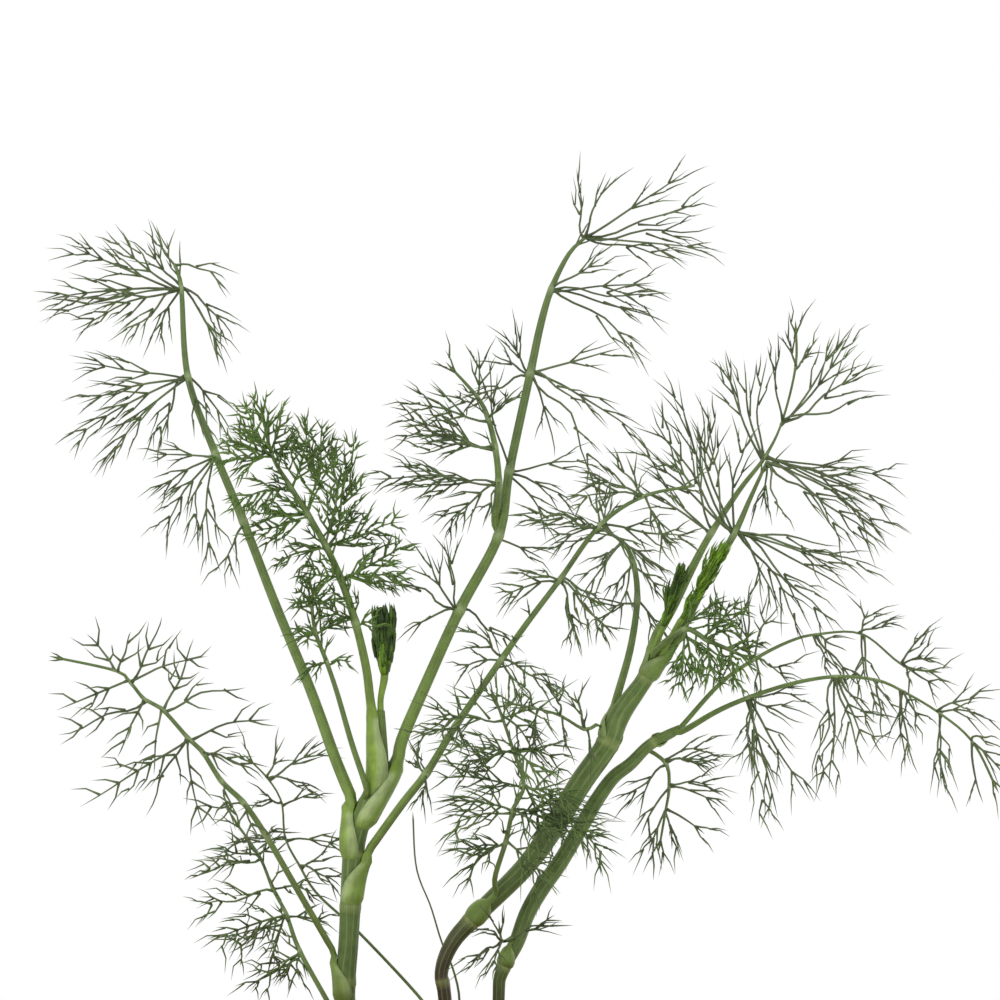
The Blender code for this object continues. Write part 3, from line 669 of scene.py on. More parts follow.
@dataclass(frozen=True)
class Feathering:
    """How leaflets divide into threads.  Lengths are in millimetres and angles in degrees."""

    bare: float  # share of a leaflet before its first fork
    missing: float  # share of the side branches that never grew
    fork_gap: float  # between the forks of a leaflet's stalk
    side_share: float  # a side branch's length, as a share of what is left of the leaflet
    side_least: float
    side_most: float
    thread: float  # length of a last thread
    thread_gap: float  # between the places where threads leave a branch
    twins: float  # chance that threads leave a branch in pairs
    spread: float  # between a branch and what it grows from
    scatter: float  # how far branches leave the leaflet's own plane
    radius: float  # of a last thread at its foot
    fill: float  # between the small sprigs along the leaf's own stalk, or 0 for none
    fresh: float


class Habit(Enum):
    """How a leaf stands and fills out, from the sparest to the densest."""

    # bare, missing, fork gap, side share, least, most, thread, thread gap, twins, spread, scatter,
    # radius, fill, fresh
    SPARE = Feathering(0.2, 0.22, 5.8, 0.4, 8.5, 13.0, 8.0, 17.0, 0.1, 46.0, 30.0, 0.21, 0.0, 0.05)
    AIRY = Feathering(0.4, 0.36, 7.0, 0.5, 7.5, 14.0, 11.0, 12.5, 0.12, 24.0, 24.0, 0.19, 0.0, 0.0)
    LOOSE = Feathering(0.26, 0.4, 6.8, 0.45, 7.5, 12.5, 11.0, 10.0, 0.15, 36.0, 34.0, 0.19, 0.0, 0.0)
    OPEN = Feathering(0.32, 0.15, 6.4, 0.5, 7.0, 14.0, 10.0, 9.5, 0.25, 27.0, 26.0, 0.2, 0.0, 0.05)
    FULL = Feathering(0.24, 0.12, 4.6, 0.5, 6.0, 13.0, 8.5, 7.5, 0.4, 33.0, 36.0, 0.21, 9.0, 0.15)
    NETTED = Feathering(0.16, 0.1, 3.8, 0.5, 7.0, 12.0, 8.0, 8.0, 0.3, 48.0, 50.0, 0.2, 5.0, 0.4)
    BUSHY = Feathering(0.16, 0.1, 2.8, 0.5, 8.0, 14.0, 9.5, 7.0, 0.45, 44.0, 50.0, 0.2, 2.8, 0.4)
    DENSE = Feathering(0.1, 0.15, 2.5, 0.5, 4.2, 11.0, 5.4, 4.0, 0.5, 46.0, 60.0, 0.23, 2.0, 0.9)


STALK_SLOT = 0
THREAD_SLOT = 1
FRONT = np.array([0.0, -1.0, 0.0])


def turned_towards(direction: np.ndarray, side: np.ndarray, degrees: float) -> np.ndarray:
    """Turns a direction towards a side.

    Args:
        direction: A unit vector.
        side: Any vector that isn't parallel to it.
        degrees: The angle between the old and the new direction.

    Returns:
        The new unit vector.
    """
    square = unit(side - direction * side.dot(direction))
    angle = math.radians(degrees)
    return direction * math.cos(angle) + square * math.sin(angle)


class Sprig:
    """Grows leaflets, and the threads that they divide into, on one leaf's mesh."""

    arch = 0.1  # how far a leaflet rises above its straight line, as a share of its length
    waver = 0.02  # how far it winds to either side, as a share of its length
    turn_out = 0.45  # how squarely it leaves the leaf's stalk
    leaflet_marks = (0.0, 0.12, 0.5, 1.0)  # shares of a leaflet's length
    leaflet_radii = (0.54, 0.34, 0.29, 0.14)  # its radius there, in mm
    branch_girth = 1.2  # how much thicker a side branch is than a last thread
    branch_taper = np.array([1.7, 1.15, 1.0, 0.55])  # shares of its radius along it
    branch_bend = (0.15, 0.35)  # the least and the most
    fork_from = 0.3  # share of a side branch before its first thread
    fork_span = 0.5  # share of it that threads leave
    thread_taper = np.array([1.45, 0.95, 0.5])
    thread_bend = (0.1, 0.4)
    thread_reach = (0.55, 1.15)  # the shortest and longest thread, as shares of the habit's
    droop = 0.5  # how strongly last threads bend down
    bend_at = 0.45  # share of a leaflet or thread at which it bends
    curve_points = 9
    facing_scatter = 0.45  # how far leaflets turn from facing the front
    last_fork = 0.9  # share of a leaflet at which its forks end
    least_growth = 2.5  # in mm, what each side branch has beyond its share

    def __init__(self, mesh: PlantMesh, habit: Habit, name: str) -> None:
        """Takes the mesh to grow on.

        Args:
            mesh: The leaf's mesh.
            habit: How the leaflets divide.
            name: The leaf's name, which fixes its random draws.
        """
        self.mesh = mesh
        self.kind = habit.value
        self.draw = np.random.default_rng(zlib.crc32(name.encode()))

    def shade(self, along: float) -> np.ndarray:
        """Returns the growth of a thread, which is fresher and paler further out."""
        fresh = self.kind.fresh * self.draw.uniform(0.6, 1.2) + 0.25 * along * self.draw.uniform()
        return np.array([min(fresh, 1.0), 0.12 * self.draw.uniform(), 0.3 * self.draw.uniform()])

    def thread(self, start: np.ndarray, direction: np.ndarray, lean: np.ndarray, length: float) -> None:
        """Grows one last thread, which bends from its direction towards a lean."""
        bend = self.draw.uniform(*self.thread_bend)
        lean = lean - np.array([0.0, 0.0, self.droop])
        bow = self.draw.normal(size=3) * length * 0.02
        middle = start + direction * length * self.bend_at + bow
        end = start + unit(direction * (1 - bend) + lean * bend) * length
        points = np.array([start, middle, end * 0.55 + middle * 0.45, end])
        radius = self.kind.radius * MM * self.draw.uniform(0.85, 1.1)
        self.mesh.tube(points, self.thread_taper * radius, self.shade(1.0), THREAD_SLOT)

    def side(self, direction: np.ndarray, across: np.ndarray) -> np.ndarray:
        """Returns a direction across a branch, scattered out of the leaflet's plane."""
        square = unit(across - direction * across.dot(direction))
        out = np.cross(direction, square)
        angle = math.radians(self.draw.normal() * self.kind.scatter)
        return square * math.cos(angle) + out * math.sin(angle)

    def branch(self, start: np.ndarray, direction: np.ndarray, lean: np.ndarray, length: float) -> None:
        """Grows a side branch with its own threads.

        Args:
            start: Where it leaves the leaflet's stalk.
            direction: Which way it leaves.
            lean: The way that it bends towards.
            length: Its length in metres.
        """
        bend = self.draw.uniform(*self.branch_bend)
        middle = start + direction * length * 0.5
        end = start + unit(direction * (1 - bend) + lean * bend) * length
        points = np.array([start, (start + middle) / 2, middle, (middle + end) / 2, end])
        radius = self.kind.radius * MM * self.branch_girth
        growth = self.shade(0.5)
        self.mesh.tube(points, self.branch_taper * radius, growth, THREAD_SLOT)
        across = self.side(direction, np.cross(lean, direction) + self.draw.normal(size=3) * 0.4)
        forks = round(length / MM / self.kind.thread_gap)
        flip = 1 if self.draw.uniform() < 0.5 else -1
        for number in range(forks):
            t = self.fork_from + self.fork_span * (number + self.draw.uniform(0.1, 0.7)) / forks
            place = start * (1 - t) + end * t + (middle - (start + end) / 2) * 2 * t * (1 - t)
            along = unit(end - start)
            sides = (flip, -flip) if self.draw.uniform() < self.kind.twins else (flip,)
            flip = -flip
            for sign in sides:
                side = self.side(along, across * sign)
                way = turned_towards(along, side, self.kind.spread * self.draw.uniform(0.6, 1.1))
                reach = self.kind.thread * MM * self.draw.uniform(*self.thread_reach) * (1.15 - 0.4 * t)
                self.thread(place, way, along, min(reach, length * 1.2))

    def leaflet(self, root: np.ndarray, out: np.ndarray, tip: np.ndarray) -> None:
        """Grows a leaflet from a stalk to a tip.

        Args:
            root: A point inside the leaf's stalk.
            out: The way that it leaves the stalk.
            tip: Where its stalk ends.
        """
        reach = float(np.linalg.norm(tip - root))
        straight = unit(tip - root)
        rise = np.array([0.0, 0.0, self.arch * reach * (1 - abs(straight[2]))])
        start = unit(out * self.turn_out + straight * (1 - self.turn_out))
        bend = root + start * reach * self.bend_at + rise
        t = np.linspace(0, 1, self.curve_points)[:, None]
        curve = root * (1 - t) ** 2 + bend * 2 * t * (1 - t) + tip * t**2
        curve = curve + np.sin(t * math.pi * 3) * self.draw.normal(size=3) * reach * self.waver
        radii = np.interp(t[:-1, 0], self.leaflet_marks, self.leaflet_radii) * MM
        self.mesh.tube(curve, radii, self.shade(0.3), THREAD_SLOT, sides=6)
        facing = FRONT + self.draw.normal(size=3) * self.facing_scatter
        across = unit(np.cross(straight, facing))
        bare = self.kind.bare
        forks = max(2, round(reach * (0.95 - bare) / MM / self.kind.fork_gap))
        for number in range(forks):
            t = bare + (self.last_fork - bare) * (number + self.draw.uniform(0.1, 0.6)) / forks
            place = root * (1 - t) ** 2 + bend * 2 * t * (1 - t) + tip * t**2
            along = unit((bend - root) * (1 - t) + (tip - bend) * t)
            left = (1 - t) * reach / MM
            for sign in (1, -1):
                if self.draw.uniform() < self.kind.missing:
                    continue
                length = (left * self.kind.side_share + self.least_growth) * self.draw.uniform(0.75, 1.2)
                length = min(max(length, self.kind.side_least), self.kind.side_most) * MM
                side = self.side(along, across * sign)
                way = turned_towards(along, side, self.kind.spread * self.draw.uniform(0.8, 1.25))
                self.branch(place, way, along, length)


@dataclass
class Leaf:
    """One feathered leaf: its sheath, its stalk through the places of route, and its leaflets.

    It grows from the parent piece at a height above the soil, on the side that heading gives in
    degrees from +X towards +Y.  pinnae gives the leaflets' tips by their place in route, which
    counts from 1.
    """

    name: str
    parent: str
    height: float
    heading: float
    sheath: float  # its length, or 0 for none
    layer: int  # how many sheaths lie between this one and the stem
    radius: float  # of the stalk where it begins
    tip_radius: float
    route: list[Place]
    pinnae: dict[int, list[Place]] = field(default_factory=dict)
    habit: Habit = Habit.OPEN

    half_sides: int = 9
    sheath_wall: float = 0.5
    gap: float = 0.3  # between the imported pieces
    sheath_wrap: float = 250.0  # how far round the stem its foot reaches, in degrees
    loop_gap: float = 2.4
    blend_length: float = 6.0  # of the stalk, from the sheath's shape to a round one
    puff: float = 0.1  # how far the sheath bulges half way up
    tender: float = 0.4  # how fresh the sheath is
    aged_tip: float = 0.3  # how aged the stalk is at its tip
    taper: tuple[float, ...] = (1.0, 0.88, 0.7, 0.55)  # shares of the radius along the stalk
    ring_width: float = 2.0  # length of stalk that one ring of leaflets leaves
    fill_lengths: tuple[float, float] = (4.5, 9.0)  # of the sprigs between the rings
    fill_spread: tuple[float, float] = (35.0, 70.0)  # between them and the stalk
    end_branch: float = 7.0  # length of the two branches at the stalk's end
    end_spread: float = 24.0  # between them and the stalk
    ring_reach: float = 1.8  # how much of the stalk a ring of leaflets swells, each way
    ring_swelling: float = 0.16
    foot_rise: float = 0.22  # share of the sheath in which it comes out of the stem
    foot_sink: float = 0.06  # how deep its foot lies in the stem, as a share of the stem's radius
    foot_wall: float = 0.2  # thickness of its foot, as a share of its wall
    sheath_loop_gap: float = 1.2
    sheath_loops: int = 5  # the least
    follow: float = 3.0  # length above a sheath that the stalk follows the stem
    stalk_loops: int = 6  # the least
    visual_gap: float = 0.6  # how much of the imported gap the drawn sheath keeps

    def inner_gap(self) -> float:
        """Returns how far the sheath's inner face stands off its parent, in metres."""
        return (self.gap + self.layer * (self.sheath_wall + self.gap)) * MM * self.visual_gap

    def lay_path(self, paths: dict[str, Path]) -> Path:
        """Lays the stalk's path and keeps it for what grows from it.

        Args:
            paths: Every path so far, by name.

        Returns:
            The stalk's path.
        """
        parent = paths[self.parent]
        radius = self.radius * MM
        foot = parent.at_height(self.height)
        if self.sheath:
            top = foot + self.sheath * MM
            out = parent.outward(top, self.heading)
            middle = parent.radius(top) + self.inner_gap() + self.sheath_wall / 2 * MM
            start = parent.place(top) + out * middle
            lift = max(0.0, radius - self.sheath_wall / 2 * MM)
            points = [start, start + parent.tangent(top) * self.follow * MM + out * lift]
        else:
            out = parent.outward(foot, self.heading)
            start = parent.place(foot) + out * max(0.0, parent.radius(foot) - radius * 0.9)
            points = [start, start + (out + parent.tangent(foot) * 1.4) * 2 * MM]
        points += [SoilLine.placed(place) for place in self.route]
        path = Path(points, [*(radius * share for share in self.taper), self.tip_radius * MM])
        paths[self.name] = path
        return path

    def node_places(self, path: Path) -> dict[int, float]:
        """Returns how far along the stalk each ring of leaflets stands."""
        first = len(path.places) // path.span_samples - len(self.route)
        return {number: path.at_point(first + number) for number in self.pinnae}

    def swelling(self, s: float, rings: list[float]) -> float:
        """Returns how near a place on the stalk is to a ring of leaflets, from 0 to 1."""
        near = min((abs(s - ring) for ring in rings), default=1.0)
        return float(smooth_step(1 - near / (self.ring_reach * MM)))

    def sheath_loop(self, parent: Path, s: float, up: float) -> tuple[np.ndarray, np.ndarray]:
        """Makes one loop round the parent.

        Args:
            parent: What the sheath goes round.
            s: Distance along the parent.
            up: How far up the sheath, from 0 at its foot to 1 where the stalk begins.

        Returns:
            The loop's points and their share of the way from the sheath's back to its margin.
        """
        back = parent.outward(s, self.heading)
        side = np.cross(parent.tangent(s), back)
        narrow = min(1.0, self.radius / (parent.radius(s) / MM + 0.5))
        closed = math.asin(narrow) * 1.1
        narrowing = up ** (1.0 + min(1.4, self.sheath / 9))
        half = math.radians(self.sheath_wrap / 2) * (1 - narrowing) + closed * narrowing
        turns = np.linspace(-1, 1, self.half_sides)
        thicker = max(0.0, 2 * self.radius / self.sheath_wall - 1)
        wall = self.sheath_wall * (1 + thicker * up**3 * (1 - np.abs(turns)) ** 0.8)
        wall = wall * (1 - 0.5 * np.abs(turns) ** 4)
        rise = float(smooth_step(up / self.foot_rise))
        bulge = self.puff * math.sin(math.pi * up) * MM
        sunk = 1 - self.foot_sink + self.foot_sink * rise
        inner = parent.radius(s) * sunk + self.inner_gap() * rise + bulge
        wall = wall * (self.foot_wall + (1 - self.foot_wall) * rise)
        radii = np.concatenate([inner + wall * MM, np.full(self.half_sides, inner)])
        shares = np.concatenate([turns, turns[::-1]])
        angles = shares * half
        arms = back * np.cos(angles)[:, None] + side * np.sin(angles)[:, None]
        return parent.place(s) + arms * radii[:, None], np.abs(shares)

    def grow_stalk(self, mesh: PlantMesh, parent: Path, path: Path) -> None:
        """Lofts the sheath and the stalk as one skin.

        Args:
            mesh: The mesh to add to.
            parent: What the leaf grows from.
            path: The stalk's path.
        """
        rings = list(self.node_places(path).values())
        half_turn = np.linspace(-math.pi / 2, math.pi / 2, self.half_sides) * (1 - 1 / self.half_sides)
        angles = np.concatenate([half_turn, half_turn + math.pi])
        loops, growth, skin = [], [], []
        turns = np.stack([np.cos(angles), np.sin(angles)], axis=1)
        foot = parent.at_height(self.height)
        if self.sheath:
            rows = max(self.sheath_loops, round(self.sheath / self.sheath_loop_gap))
            for row in range(rows):
                up = row / rows
                loop, share = self.sheath_loop(parent, foot + self.sheath * MM * up, up)
                margin = smooth_step((share - 0.45) / 0.4) * smooth_step(up / 0.3)
                foot_ring = float(smooth_step(1 - up / 0.15))
                loops.append(loop)
                pale = np.clip(0.1 * foot_ring + 0.7 * self.tender * margin, 0, 1)
                growth.append(np.stack([self.tender + 0 * pale, pale, 0 * pale], axis=1))
                length = np.full(len(turns), self.sheath * MM * (up - 1))
                skin.append(np.column_stack([turns, length]))
        top = foot + self.sheath * MM
        back = parent.outward(top, self.heading)
        tangent = path.tangent(0.0)
        out = unit(back - tangent * back.dot(tangent))
        end = path.length
        count = max(self.stalk_loops, round(end / MM / self.loop_gap))
        stations = np.linspace(0, end, count)
        stations = np.unique(np.concatenate([stations, rings, [ring + 0.8 * MM for ring in rings]]))
        for s in stations[:-1]:
            tangent = path.tangent(s)
            out = unit(out - tangent * out.dot(tangent))
            side = np.cross(tangent, out)
            swell = self.swelling(s, rings)
            radius = path.radius(s) * (1 + self.ring_swelling * swell)
            arms = out * np.cos(angles)[:, None] + side * np.sin(angles)[:, None]
            loop = path.place(s) + arms * radius
            joined = float(smooth_step(s / (self.blend_length * MM)))
            if self.sheath and joined < 1:
                crescent, _ = self.sheath_loop(parent, top, 1.0)
                shifted = crescent + parent.tangent(top) * s * 0.9
                loop = shifted * (1 - joined) + loop * joined
            loops.append(loop)
            pale = 0.35 * swell
            far = s / end
            fresh = (0.4 * (1 - joined) + 0.6 * (1 - far) ** 2) * self.tender
            row = np.array([min(fresh, 1.0), pale, self.aged_tip * far])
            growth.append(np.broadcast_to(row, (len(turns), 3)))
            skin.append(np.column_stack([turns, np.full(len(turns), s)]))
        start = loops[0].mean(axis=0)
        if self.sheath:
            start = loops[0][[self.half_sides // 2, -self.half_sides // 2]].mean(axis=0)
        mesh.loft(np.array(loops), np.array(growth), np.array(skin), STALK_SLOT, start, path.place(end))

    def grow_feathers(self, sprig: Sprig, path: Path) -> None:
        """Grows the leaflets, the sprigs between them and the branches at the stalk's end.

        Args:
            sprig: What grows them on the leaf's mesh.
            path: The stalk's path.
        """
        rings = self.node_places(path)
        for number, ring in rings.items():
            tips = self.pinnae[number]
            for count, tip in enumerate(tips):
                target = SoilLine.placed(tip)
                place = ring + (count / len(tips) - 0.5) * self.ring_width * MM
                place = min(place, path.length - 0.5 * MM)
                root = path.place(place)
                tangent = path.tangent(place)
                aim = target - root
                out = unit(aim - tangent * aim.dot(tangent) * 0.8)
                sprig.leaflet(root, out, target)
        if sprig.kind.fill:
            for s in np.arange(min(rings.values()), path.length - 3 * MM, sprig.kind.fill * MM):
                tangent = path.tangent(s)
                side = sprig.draw.normal(size=3)
                way = turned_towards(tangent, side, sprig.draw.uniform(*self.fill_spread))
                sprig.branch(path.place(s), way, tangent, sprig.draw.uniform(*self.fill_lengths) * MM)
        end = path.tangent(path.length)
        for sign in (-1, 1):
            across = np.cross(end, FRONT) * sign + np.array([0.01, 0.02, 0.01])
            way = turned_towards(end, across, self.end_spread)
            sprig.branch(path.place(path.length - 4 * MM), way, end, self.end_branch * MM)

    def build(self, paths: dict[str, Path]) -> bpy.types.Object:
        """Builds the whole leaf.

        Args:
            paths: Every path so far, by name; the leaf's own is added.

        Returns:
            The leaf's object.
        """
        parent = paths[self.parent]
        path = self.lay_path(paths)
        mesh = PlantMesh()
        self.grow_stalk(mesh, parent, path)
        if self.pinnae:
            self.grow_feathers(Sprig(mesh, self.habit, self.name), path)
        return mesh.finished(self.name + "_fine", [STALK_FINISH.material(), THREAD_FINISH.material()])

    def make(self, paths: dict[str, Path]) -> None:
        """Builds the leaf and settles it in the frame."""
        settle(self.build(paths), "leaf", self.name)


@dataclass
class Stem:
    """A round ribbed stem with a swollen ring where each leaf leaves it."""

    name: str
    places: list[Place]
    radii: list[float]
    aged_to: float = 0.0  # height in mm up to which the stem is brown
    joints: list[float] = field(default_factory=list)

    sides: int = 32
    loop_gap: float = 1.2
    rib_count: int = 11
    rib_height: float = 0.012  # as a share of the radius
    joint_reach: float = 1.6  # how much of the stem a joint swells, each way
    joint_swelling: float = 0.09

    def lay_path(self, paths: dict[str, Path]) -> Path:
        """Lays the stem's path and keeps it for what grows from it."""
        paths[self.name] = Path([SoilLine.placed(p) for p in self.places], [r * MM for r in self.radii])
        return paths[self.name]

    def build(self, paths: dict[str, Path]) -> bpy.types.Object:
        """Lofts the stem.

        Args:
            paths: Every path so far, by name; the stem's own is added.

        Returns:
            The stem's object.
        """
        path = self.lay_path(paths)
        joints = [path.at_height(height) for height in self.joints]
        angles = np.linspace(0, 2 * math.pi, self.sides, endpoint=False)
        stations = np.linspace(0, path.length, round(path.length / MM / self.loop_gap))
        out = np.array([1.0, 0.0, 0.0])
        loops, growth, skin = [], [], []
        for s in stations:
            tangent = path.tangent(s)
            out = unit(out - tangent * out.dot(tangent))
            side = np.cross(tangent, out)
            near = min((abs(s - joint) for joint in joints), default=1.0)
            swell = float(smooth_step(1 - near / (self.joint_reach * MM)))
            ribs = 1 + self.rib_height * np.cos(angles * self.rib_count)
            radii = path.radius(s) * ribs * (1 + self.joint_swelling * swell)
            arms = out * np.cos(angles)[:, None] + side * np.sin(angles)[:, None]
            place = path.place(s)
            loops.append(place + arms * radii[:, None])
            height = (place[2] - SoilLine.level) / MM
            aged = float(smooth_step(1 - (height - self.aged_to * 0.4) / max(self.aged_to * 0.6, 1.0)))
            row = np.array([0.3 * s / path.length, 0.5 * swell, aged])
            growth.append(np.broadcast_to(row, (self.sides, 3)))
            skin.append(np.column_stack([np.cos(angles), np.sin(angles), np.full(self.sides, s)]))
        mesh = PlantMesh()
        mesh.loft(
            np.array(loops), np.array(growth), np.array(skin), STALK_SLOT,
            path.place(-0.2 * MM), path.place(path.length + 0.5 * MM),
        )
        return mesh.finished(self.name + "_fine", [STEM_FINISH.material()])

    def make(self, paths: dict[str, Path]) -> None:
        """Builds the stem and settles it in the frame."""
        settle(self.build(paths), "stem", self.name)


@dataclass
class FurledLeaf:
    """A young leaf that hasn't opened: a stalk with a tight brush of short threads."""

    name: str
    parent: str
    height: float | None  # in mm above the soil, or None for the parent's end
    heading: float
    places: list[Place]
    radii: list[float]
    brush_from: float  # where the brush begins, as a share of the length
    fresh: float

    threads: int = 120
    thread_length: float = 6.5
    thread_radius: float = 0.36
    variety: float = 0.3  # how unevenly fresh the threads are
    lean: float = 14.0  # in degrees, between the threads and the stalk
    sides: int = 18
    loop_gap: float = 1.2
    core_end: float = 0.97  # where the core ends, as a share of the length
    core_share: float = 0.72  # the core's radius under the brush, as a share of the whole
    thread_taper: ClassVar[np.ndarray] = np.array([0.8, 1.0, 0.8])

    def lay_path(self, paths: dict[str, Path]) -> Path:
        """Lays the path and keeps it for what grows from it.

        Args:
            paths: Every path so far, by name.

        Returns:
            The furled leaf's path.
        """
        parent = paths[self.parent]
        if self.height is None:
            tangent = parent.tangent(parent.length)
            start = parent.place(parent.length - 0.5 * MM)
            points = [start, start + tangent * 4 * MM]
        else:
            s = parent.at_height(self.height)
            out = parent.outward(s, self.heading)
            points = [parent.place(s) + out * parent.radius(s) * 0.8]
        points += [SoilLine.placed(place) for place in self.places]
        paths[self.name] = Path(points, [radius * MM for radius in self.radii])
        return paths[self.name]

    def grow_core(self, mesh: PlantMesh, path: Path) -> None:
        """Lofts the stalk and the dark core that the brush stands on.

        Args:
            mesh: The mesh to add to.
            path: The furled leaf's path.
        """
        angles = np.linspace(0, 2 * math.pi, self.sides, endpoint=False)
        brush = path.length * self.brush_from
        out = np.array([1.0, 0.0, 0.0])
        loops, skin = [], []
        for s in np.linspace(0, path.length * self.core_end, round(path.length / MM / self.loop_gap)):
            tangent = path.tangent(s)
            out = unit(out - tangent * out.dot(tangent))
            side = np.cross(tangent, out)
            share = 1.0 if s < brush else self.core_share
            arms = out * np.cos(angles)[:, None] + side * np.sin(angles)[:, None]
            loops.append(path.place(s) + arms * path.radius(s) * share)
            skin.append(np.column_stack([np.cos(angles), np.sin(angles), np.full(self.sides, s)]))
        shares = np.linspace(0, self.core_end, len(loops))
        stalk = int(np.sum(shares < self.brush_from)) + 1
        for low, high, slot in ((0, stalk, STALK_SLOT), (stalk - 1, len(loops), THREAD_SLOT)):
            part = np.array(loops[low:high])
            tint = np.array([0.9 if slot == STALK_SLOT else self.fresh * 0.7, 0.0, 0.1])
            start, end = part[0].mean(axis=0), part[-1].mean(axis=0)
            mesh.loft(part, tint, np.array(skin[low:high]), slot, start, end)

    def grow_brush(self, mesh: PlantMesh, path: Path) -> None:
        """Grows the brush of short threads.

        Args:
            mesh: The mesh to add to.
            path: The furled leaf's path.
        """
        draw = np.random.default_rng(zlib.crc32(self.name.encode()))
        brush = path.length * self.brush_from
        for _ in range(self.threads):
            t = draw.uniform(0.0, 0.93) ** 0.85
            s = brush + (path.length - brush) * t * 0.93
            tangent = path.tangent(s)
            turn = draw.uniform(0, 2 * math.pi)
            reference = unit(np.cross(tangent, np.array([0.0, 1.0, 0.2])))
            arm = reference * math.cos(turn) + np.cross(tangent, reference) * math.sin(turn)
            way = turned_towards(tangent, arm, self.lean * draw.uniform(0.2, 1.5))
            start = path.place(s) + arm * path.radius(s) * draw.uniform(0.55, 0.85)
            room = path.length - s - draw.uniform(-0.3, 2.5) * MM
            length = min(self.thread_length * MM * draw.uniform(0.6, 1.15), max(room, 2 * MM))
            bow = start + way * length * 0.5 + arm * length * 0.06
            tip = start + tangent * length * 0.3 + way * length * 0.7
            points = np.array([start, (start + bow) / 2, bow, tip])
            fresh = self.fresh + self.variety * draw.uniform(-1, 1) + 0.7 * (1 - smooth_step(t / 0.3))
            tint = np.array([fresh, 0.1 * draw.uniform(), 0.5 * draw.uniform()])
            radii = self.thread_taper * self.thread_radius * MM
            mesh.tube(points, radii, np.clip(tint, 0, 1), THREAD_SLOT)

    def build(self, paths: dict[str, Path]) -> bpy.types.Object:
        """Builds the stalk, its dark core and the brush of threads.

        Args:
            paths: Every path so far, by name; the leaf's own is added.

        Returns:
            The furled leaf's object.
        """
        path = self.lay_path(paths)
        mesh = PlantMesh()
        self.grow_core(mesh, path)
        self.grow_brush(mesh, path)
        return mesh.finished(self.name + "_fine", [STALK_FINISH.material(), BUD_FINISH.material()])

    def make(self, paths: dict[str, Path]) -> None:
        """Builds the furled leaf and settles it in the frame."""
        settle(self.build(paths), "bud", self.name)


def turned_solid(name: str, outline: list[tuple[float, float]], sides: int) -> bpy.types.Object:
    """Turns an outline round the z axis into a closed solid.

    Args:
        name: The piece's name.
        outline: Radius and height in metres, up the outside and down the inside; both ends on the axis.
        sides: How many steps the turn has.

    Returns:
        The object.
    """
    angles = np.linspace(0, 2 * math.pi, sides, endpoint=False)
    circle = np.stack([np.cos(angles), np.sin(angles), np.zeros(sides)], axis=1)
    loops = np.array([circle * radius + np.array([0, 0, height]) for radius, height in outline[1:-1]])
    mesh = PlantMesh()
    start, end = (np.array([0.0, 0.0, outline[k][1]]) for k in (0, -1))
    mesh.loft(loops, np.zeros(3), PLAIN_SKIN, 0, start, end)
    return mesh.finished(name, [])


def arc_corner(before: tuple, corner: tuple, after: tuple, radius: float, steps: int = 5) -> list[tuple]:
    """Rounds one corner of an outline.

    Args:
        before: The point before the corner.
        corner: The corner.
        after: The point after it.
        radius: The rounding's radius.
        steps: How many points the arc has.

    Returns:
        The arc's points.
    """
    point = np.array(corner)
    arm_in = unit(np.array(before) - point)
    arm_out = unit(np.array(after) - point)
    half = math.acos(float(np.clip(arm_in.dot(arm_out), -1, 1))) / 2
    centre = point + unit(arm_in + arm_out) * radius / math.sin(half)
    first = point + arm_in * radius / math.tan(half) - centre
    last = point + arm_out * radius / math.tan(half) - centre
    arc = [unit(first * (1 - t) + last * t) * radius + centre for t in np.linspace(0, 1, steps)]
    return [tuple(place) for place in arc]


